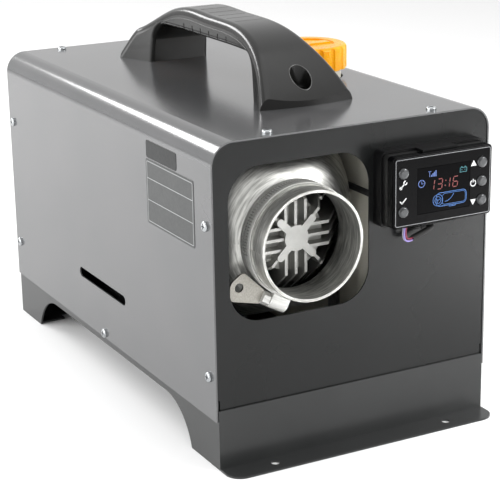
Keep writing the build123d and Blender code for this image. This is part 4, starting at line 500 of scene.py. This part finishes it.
# %% Two bare labels
side_face_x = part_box("cover")[0][0] / MM
matt_film = {"Specular IOR Level": 0.25}
label_film = moulded("label_film", "#434444", "#474848", (0.46, 0.54), 2.0, 0.001, matt_film)
label_line = moulded("label_line", "#8d8f8f", "#949696", (0.40, 0.50), 1.0, 0.001)
maker_film = moulded("maker_label_film", "#242525", "#272828", (0.46, 0.54), 2.0, 0.001,
                     matt_film)
data_centre, data_size = (125.3, 183.5), (79.0, 49.0)
film_corner = 2.0
for name, centre, size, finish in (
    ("maker_label", (112.3, 215.5), (51.0, 13.0), maker_film),
    ("data_label", data_centre, data_size, label_film),
):
    film_form = bmesh.new()
    plate(film_form, centre, *size, film_corner)
    thicken(film_form, film)
    on_left(film_form, side_face_x)
    set_piece(film_form, name, "case", finish)
    print(name, size, "mm")

# %% Frame and cross lines of the large label
margin = 1.5
line = 0.5
line_corner = 1.2
frame_width, frame_height = (side - 2 * margin for side in data_size)
line_form = bmesh.new()
plate(line_form, data_centre, frame_width, frame_height, line_corner, line)
left = data_centre[0] - frame_width / 2 + line
right = data_centre[0] + frame_width / 2 - line
low = data_centre[1] - frame_height / 2
for share in (0.36, 0.72):
    level = low + share * frame_height
    bar(line_form, (left, level), (right, level), line)
thicken(line_form, ink)
on_left(line_form, side_face_x - film)
set_piece(line_form, "data_label_lines", "case", label_line)
print("label frame:", frame_width, "x", frame_height, "mm")

# %% [markdown]
# ## Parting line of the handle
# The handle's two mould halves meet along a line just below its shiny shoulder,
# and leave a hair-thin ridge there. The ridge is given a grey far paler than the
# black nylon, a painted highlight for the light it catches. It could be drawn from
# the handle's measures, but its skin curves two ways, so the path is found on the
# handle itself: at each step along it, one ray from above finds the top, and one from
# the side finds the skin a little below it.

# %% Rays on the handle, and tubes along points
handle_mesh = nodes["handle"].data
handle_skin = BVHTree.FromPolygons(
    [v.co.copy() for v in handle_mesh.vertices],
    [tuple(p.vertices) for p in handle_mesh.polygons],
)
handle_low, handle_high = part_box("handle")
handle_x = (handle_low[0] + handle_high[0]) / 2
# Rays start well above the handle, at this height in metres
above_z = 0.4


def on_top(x, y):
    """Point of the handle's skin straight below a place above it."""
    return handle_skin.ray_cast(Vector((x, y, above_z)), Vector((0, 0, -1)))[0]


def tube(form, points, radius, endless=False):
    """Round tube along points, one ring of eight corners at each; endless joins its ends."""
    count = len(points)
    rings = []
    for at, point in enumerate(points):
        if endless:
            behind, ahead = points[at - 1], points[(at + 1) % count]
        else:
            behind, ahead = points[max(at - 1, 0)], points[min(at + 1, count - 1)]
        aim = (ahead - behind).to_track_quat("Z", "Y").to_matrix().to_4x4()
        ring = bmesh.ops.create_circle(form, segments=8, radius=radius)["verts"]
        bmesh.ops.transform(form, matrix=Matrix.Translation(point) @ aim, verts=ring)
        rings.append(list({edge for corner in ring for edge in corner.link_edges}))
    for one, other in zip(rings, rings[1:]):
        bmesh.ops.bridge_loops(form, edges=one + other)
    if endless:
        bmesh.ops.bridge_loops(form, edges=rings[-1] + rings[0])
    else:
        bmesh.ops.holes_fill(form, edges=rings[0] + rings[-1], sides=8)


print("handle: middle at x", round(handle_x, 4), "m, top at z", round(handle_high[2], 4), "m")

# %% Ridge along both sides of the handle
ridge_drop = 8.5 * MM
ridge_r = 0.3 * MM
ridge_steps = 64
ridge_inset = 55.0 * MM
ridge_length = handle_high[1] - handle_low[1] - 2 * ridge_inset
# Rays down the very middle could slip through the edge that two faces share there
off_middle = handle_x + 0.7 * MM
# Rays from the side start this far out, in metres
beside = 0.2


def ridge_points(side):
    """Points of the ridge on one side of the handle, -1 left and +1 right."""
    found = []
    for step in range(ridge_steps + 1):
        y = handle_low[1] + ridge_inset + step / ridge_steps * ridge_length
        top = on_top(off_middle, y)
        if top:
            start = Vector((handle_x + side * beside, y, top.z - ridge_drop))
            hit = handle_skin.ray_cast(start, Vector((-side, 0, 0)))[0]
            found += [hit] if hit else []
    return found


# Pale grey on black nylon: a painted highlight, used for the ridges and the well beads
ridge_painted_highlight = moulded("nylon_parting_line_painted_highlight", "#4c4c4b", "#535352", (0.30, 0.40), 0.8, 0.002)
for side, side_name in ((-1, "left"), (1, "right")):
    ridge_form = bmesh.new()
    tube(ridge_form, ridge_points(side), ridge_r)
    set_piece(ridge_form, f"handle_ridge_{side_name}", "case", ridge_painted_highlight)
print("ridge:", round(ridge_length, 3), "m long on each side")

# %% [markdown]
# ## Screw wells and grip
# A raised bead runs round the mouth of each screw well, and six low ribs cross the
# grip so that it doesn't slip in a glove. Both lie on a curved skin, so rays from
# above lay them down point by point. The ribs are sunk by more than half, and only
# a low rounded back stands out.

# %% Bead round each screw well
well_r = 8.0 * MM
bead_r = 0.35 * MM
bead_steps = 40
bead_reach = well_r + bead_r
screw_low, screw_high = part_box("handle_screws")
head_r = (screw_high[0] - screw_low[0]) / 2
well_x = screw_low[0] + head_r
for end_name, well_y in (("front", screw_low[1] + head_r), ("rear", screw_high[1] - head_r)):
    bead_points = []
    for step in range(bead_steps):
        turn = math.tau * step / bead_steps
        bead_x = well_x + bead_reach * math.cos(turn)
        bead_points.append(on_top(bead_x, well_y + bead_reach * math.sin(turn)))
    bead_form = bmesh.new()
    tube(bead_form, bead_points, bead_r, endless=True)
    # The bead takes the ridge's grey, a painted highlight
    set_piece(bead_form, f"handle_well_bead_{end_name}", "case", ridge_painted_highlight)
print("screw wells:", round(2 * well_r / MM, 1), "mm wide")

# %% Ribs across the grip
rib_count = 6
rib_pitch = 15.0 * MM
rib_half = 12.0 * MM
rib_r = 0.22 * MM
rib_sink = Vector((0, 0, 0.12 * MM))
half_steps = 8
rib_form = bmesh.new()
for rib in range(rib_count):
    rib_y = (handle_low[1] + handle_high[1]) / 2 + (rib - (rib_count - 1) / 2) * rib_pitch
    across = [handle_x + rib_half * (step / half_steps - 1) for step in range(2 * half_steps + 1)]
    tube(rib_form, [on_top(x, rib_y) - rib_sink for x in across], rib_r)
set_piece(rib_form, "handle_grip_ribs", "case", handle_nylon)
print("ribs:", rib_count, "of them,", round(rib_pitch / MM, 1), "mm apart")

# %% [markdown]
# ## Signs on the controller
# White ink marks the five buttons: a spanner for the menu, a tick to confirm, two
# triangles for up and down, and the power sign. A font of signs could give these,
# but strips and bands are the same on every computer. A pale hairline round the
# bezel's face is a painted highlight, for the light on its rounded edge.

# %% White button signs
bezel_low, bezel_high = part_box("controller_bezel")
bezel_face_y = bezel_low[1] / MM
white_ink = moulded("white_ink", "#d2d3d3", "#dadbdb", (0.45, 0.55), 1.0, 0.001)
sign_form = bmesh.new()
# Spanner: its shaft and its two open jaws
bar(sign_form, (23.6, 194.9), (26.2, 197.5), 1.0)
band(sign_form, (26.9, 198.2), 1.25, 0.9, 80.0, 370.0)
band(sign_form, (23.2, 194.5), 0.75, 0.8, 250.0, 560.0)
# Tick
bar(sign_form, (22.6, 184.9), (24.4, 183.1), 0.9)
bar(sign_form, (24.1, 183.1), (27.9, 186.9), 0.9)
# Up and down
disc(sign_form, (85.6, 204.2), 2.9, 3, 0.0)
disc(sign_form, (85.6, 176.3), 2.9, 3, 180.0)
# Power sign: an open ring and its stroke
band(sign_form, (85.4, 189.9), 2.2, 0.8, 120.0, 420.0)
bar(sign_form, (85.4, 190.4), (85.4, 193.0), 0.8)
thicken(sign_form, ink)
on_front(sign_form, bezel_face_y)
set_piece(sign_form, "button_signs", "case", white_ink)
print("signs printed on the bezel at y", round(bezel_face_y, 2), "mm")

# %% Painted highlight on the bezel's edge
edge_inset = 1.7
edge_corner = 1.6
edge_line = 0.55
bezel_middle = [(bezel_low[axis] + bezel_high[axis]) / 2 / MM for axis in (0, 2)]
bezel_size = [(bezel_high[axis] - bezel_low[axis]) / MM for axis in (0, 2)]
highlight_line_size = [side - 2 * edge_inset for side in bezel_size]
# Pale grey round the black bezel's face: a painted highlight on its rounded edge
bezel_edge_highlight_paint = moulded("bezel_edge_painted_highlight", "#6d6e70", "#77787a", (0.10, 0.16), 2.0, 0.001)
edge_form = bmesh.new()
plate(edge_form, bezel_middle, *highlight_line_size, edge_corner, edge_line)
thicken(edge_form, 2 * ink)
on_front(edge_form, bezel_face_y)
set_piece(edge_form, "bezel_edge_painted_highlight_line", "case", bezel_edge_highlight_paint)
print("overlay:", [round(side, 1) for side in highlight_line_size], "mm")

# %% [markdown]
# ## The lit display
# Behind the real smoked window each sign is a clear place in a black mask, lit from
# behind by its own small lamp: dim red digits, a blue clock, signal bars and
# outline of a heater, and a teal battery. Lamps behind a mask would take long to
# render cleanly. So each group is a thin layer on the window that carries its own
# light, weaker than white paper, and reads as a display and not as print.

# %% Red digits
def lit(name, colour, edge_colour, glow):
    """Display segment that shines with its own colour through a grained diffuser."""
    return moulded(name, edge_colour, colour, (0.35, 0.45), 1.0, 0.001,
                   {"Emission Color": linear(colour), "Emission Strength": glow})


def digit(form, centre, segments, width=4.0, height=7.4, line=0.75, lean=0.12):
    """Seven-segment digit from its lit segments, named a to g; it leans right."""
    x, z = centre
    half, middle = width / 2, height / 2
    ends = {
        "a": ((-half, middle), (half, middle)), "b": ((half, middle), (half, 0)),
        "c": ((half, 0), (half, -middle)), "d": ((-half, -middle), (half, -middle)),
        "e": ((-half, 0), (-half, -middle)), "f": ((-half, middle), (-half, 0)),
        "g": ((-half, 0), (half, 0)),
    }
    for name in segments:
        (ax, az), (bx, bz) = ends[name]
        start = Vector((x + ax + lean * az, z + az))
        end = Vector((x + bx + lean * bz, z + bz))
        # A little more than half a line is cut off each end, so segments stay apart
        trim = (end - start).normalized() * line * 0.6
        bar(form, start + trim, end - trim, line)


glass_face_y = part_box("display_window")[0][1] / MM
digits_z = 193.4
digits_form = bmesh.new()
for centre_x, segments in ((49.6, "bc"), (56.5, "abcdg"), (63.0, "bc"), (69.9, "acdefg")):
    digit(digits_form, (centre_x, digits_z), segments)
# Colon between hours and minutes
disc(digits_form, (61.6, 195.2), 0.5)
disc(digits_form, (61.2, 191.6), 0.5)
thicken(digits_form, ink)
on_front(digits_form, glass_face_y)
set_piece(digits_form, "display_digits", "case",
          lit("lit_red", "#6a1716", "#5e1413", 0.12))
print("digits lit at y", round(glass_face_y, 2), "mm")

# %% Blue clock and signal bars
clock_form = bmesh.new()
# Clock: its rim and two hands
band(clock_form, (40.8, 195.5), 2.6, 0.6)
bar(clock_form, (40.8, 195.2), (40.8, 197.2), 0.6)
bar(clock_form, (40.8, 195.4), (42.3, 195.4), 0.6)
# Signal: four bars, each a step higher
first_bar_x, bar_foot_z, lowest_bar_z = 49.2, 199.6, 201.0
bar_pitch, bar_step, bar_width = 1.25, 0.95, 0.95
for step in range(4):
    bar_x = first_bar_x + bar_pitch * step
    bar(clock_form, (bar_x, bar_foot_z), (bar_x, lowest_bar_z + bar_step * step), bar_width)
# Aerial: its mast and top
bar(clock_form, (47.6, 199.6), (47.6, 203.8), 0.5)
bar(clock_form, (46.4, 203.6), (48.8, 203.6), 0.5)
thicken(clock_form, ink)
on_front(clock_form, glass_face_y)
set_piece(clock_form, "display_clock_and_signal", "case",
          lit("lit_pale_blue", "#46609c", "#3f568c", 0.20))
print("clock and signal bars lit")

# %% Teal battery
battery_form = bmesh.new()
plate(battery_form, (76.7, 201.2), 6.2, 3.6, 0.5, 0.5)
# Two poles on top, and a short mark below each
bar(battery_form, (74.6, 203.3), (75.8, 203.3), 0.8)
bar(battery_form, (77.6, 203.3), (78.8, 203.3), 0.8)
bar(battery_form, (74.6, 201.2), (75.8, 201.2), 0.4)
bar(battery_form, (77.5, 201.2), (78.7, 201.2), 0.4)
thicken(battery_form, ink)
on_front(battery_form, glass_face_y)
set_piece(battery_form, "display_battery", "case",
          lit("lit_teal", "#156067", "#13565c", 0.20))
print("battery lit")

# %% Blue outline of a heater
outline_form = bmesh.new()
# Shell, and the exchanger inside it
plate(outline_form, (66.6, 181.6), 26.6, 10.4, 3.4, 0.4)
plate(outline_form, (68.8, 181.6), 20.4, 8.4, 2.4, 0.3)
# Fan at one end: two rings and three blades
fan_x, fan_z = 55.0, 181.4
blade = 2.4
band(outline_form, (fan_x, fan_z), 4.2, 0.4)
band(outline_form, (fan_x, fan_z), 2.6, 0.35)
for turn in (20.0, 140.0, 260.0):
    way = math.radians(turn)
    tip = (fan_x + blade * math.cos(way), fan_z + blade * math.sin(way))
    bar(outline_form, (fan_x, fan_z), tip, 0.4)
# Hose on top, and three feet on their rail
band(outline_form, (60.4, 188.6), 9.0, 0.35, 275.0, 335.0)
bar(outline_form, (64.6, 175.6), (70.4, 175.6), 0.35)
for foot_x in (64.8, 67.5, 70.2):
    bar(outline_form, (foot_x, 175.6), (foot_x, 176.4), 0.4)
thicken(outline_form, ink)
on_front(outline_form, glass_face_y)
set_piece(outline_form, "display_heater_outline", "case",
          lit("lit_blue", "#3365a6", "#2e5b96", 0.30))
print("outline of a heater lit")

# %% [markdown]
# ## Coloured lead wires
# Below the controller the black jacket of its lead ends, and four coloured wires
# loop up into the housing. Each is stranded copper in its own PVC colour, so four
# smooth tubes take the place of the plain wires of the frame. A curve object with a
# round section could make them too. Rings along a Bezier path give the mesh at
# once, and leave each wire free to take the inside or the outside of the loop.

# %% Four wires with their own colours
jacket_end = Vector((44.3, -198.0, 150.35)) * MM
jacket_run = Vector((-0.947, 0.0, -0.322))
beside_jacket = Vector((-0.322, 0.0, 0.947))
housing_entry = Vector((39.3, -198.0, 166.3)) * MM
half_pitch = 0.8 * MM
wire_r = 0.65 * MM
path_points = 20
# How far the path holds its way out of the jacket and into the housing, in mm
hold_out = 9.0
hold_in_x, hold_in_z = -2.6, -10.5
wire_colours = (
    ("lavender", "#9c8bd0", "#a898da", -1, -1), ("white", "#c9c6d6", "#d6d3e2", 1, -1),
    ("red", "#86203f", "#95284a", -1, 1), ("green", "#2f6a3c", "#377745", 1, 1),
)
for colour, dark, light, side_y, side_n in wire_colours:
    aside = Vector((0, side_y * half_pitch, 0))
    start = jacket_end + aside + beside_jacket * side_n * half_pitch
    end = housing_entry + aside + Vector((side_n * half_pitch, 0, 0))
    # Side +1 is the inside of the loop and holds 1 mm less, side -1 its outside
    path = geometry.interpolate_bezier(
        start, start + jacket_run * (hold_out - side_n) * MM,
        end + Vector((hold_in_x, 0, hold_in_z + side_n)) * MM, end, path_points
    )
    wire_form = bmesh.new()
    tube(wire_form, path, wire_r)
    wire = set_piece(
        wire_form, f"lead_wire_{colour}", "case",
        moulded(f"pvc_wire_{colour}", dark, light, (0.35, 0.45), 0.8, 0.003),
    )
    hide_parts("lead_wires")
    for face in wire.data.polygons:
        face.use_smooth = True
print("wires:", ", ".join(entry[0] for entry in wire_colours))

# %% [markdown]
# ## Studio floor
# The heater stands on matt white paper that runs out of the picture on all sides.
# A curved sweep would hide the horizon, but the backdrop is white as well, so a
# flat sheet is enough. It lies a hair below the feet, so that the two don't fight
# over the same place.

# %% Paper floor
floor_half = 6.0
floor_gap = 0.2 * MM
floor_form = bmesh.new()
bmesh.ops.create_grid(floor_form, x_segments=1, y_segments=1, size=floor_half)
bmesh.ops.translate(floor_form, vec=(0, 0, -floor_gap), verts=floor_form.verts)
floor_mesh = bpy.data.meshes.new("studio_floor")
floor_form.to_mesh(floor_mesh)
floor_form.free()
floor = bpy.data.objects.new("studio_floor", floor_mesh)
bpy.context.scene.collection.objects.link(floor)

matt_paper = start_material(
    "matt_paper", {"Base Color": linear("#f6f6f6"), "Roughness": 0.9}
)[0]
floor_mesh.materials.append(matt_paper)
print("floor:", 2 * floor_half, "m square,", matt_paper.name)

# %% [markdown]
# ## Lamps and backdrop
# One large soft box on the left lights the long side. A narrower one, high behind
# on the left, is what the bend of the case mirrors as its long bright line. A weak
# one above fills the top. Two in front on the right light the cap and the floor,
# which the right end of the front panel mirrors. Point lamps would show as hard
# dots in the enamel; boxes give it soft patches. The backdrop is full white where
# it is seen, mirrored or looked through, and lights a little less than that, so
# that the shadows below the case stay.

# %% Soft boxes
def soft_box(name, place, aim, width, height, watts):
    """Rectangular lamp at a place, turned to face another."""
    lamp = bpy.data.lights.new(name, "AREA")
    lamp.shape = "RECTANGLE"
    lamp.size = width
    lamp.size_y = height
    lamp.energy = watts
    holder = bpy.data.objects.new(name, lamp)
    bpy.context.scene.collection.objects.link(holder)
    holder.location = place
    holder.rotation_mode = "QUATERNION"
    holder.rotation_quaternion = (Vector(aim) - Vector(place)).to_track_quat("-Z", "Y")


soft_box("left_box", (-1.6, 0.3, 0.55), (0, 0.1, 0.12), 2.4, 1.0, 34.0)
soft_box("bend_box", (-0.85, 1.9, 1.35), (-0.1, 0, 0.23), 1.0, 0.5, 20.0)
soft_box("top_box", (0.0, -0.2, 1.8), (0, 0, 0.1), 1.8, 1.4, 7.0)
soft_box("front_box", (0.78, -0.86, 0.70), (0.34, -0.5, 0.0), 0.5, 0.4, 10.0)
soft_box("floor_box", (0.52, -0.50, 0.20), (0.52, -0.48, 0.0), 0.25, 0.25, 4.0)

# %% White backdrop
seen_strength = 1.0
lighting_strength = 0.75
world = bpy.data.worlds.new("studio_world")
bpy.context.scene.world = world
world.use_nodes = True
sky = world.node_tree
sky.nodes.clear()
ray = add_node(sky, "ShaderNodeLightPath")
camera_or_glossy = add_node(
    sky, "ShaderNodeMath",
    {0: ray.outputs["Is Camera Ray"], 1: ray.outputs["Is Glossy Ray"]},
    operation="MAXIMUM",
)
seen = add_node(
    sky, "ShaderNodeMath",
    {0: camera_or_glossy.outputs["Value"], 1: ray.outputs["Is Transmission Ray"]},
    operation="MAXIMUM",
)
strength = add_node(
    sky, "ShaderNodeMapRange",
    {"Value": seen.outputs["Value"], "To Min": lighting_strength, "To Max": seen_strength},
)
backdrop = add_node(
    sky, "ShaderNodeBackground",
    {"Color": (1.0, 1.0, 1.0, 1.0), "Strength": strength.outputs["Result"]},
)
add_node(sky, "ShaderNodeOutputWorld", {"Surface": backdrop.outputs["Background"]})
bpy.context.scene.view_settings.view_transform = "Standard"
print("backdrop:", seen_strength, "where seen,", lighting_strength, "as light")
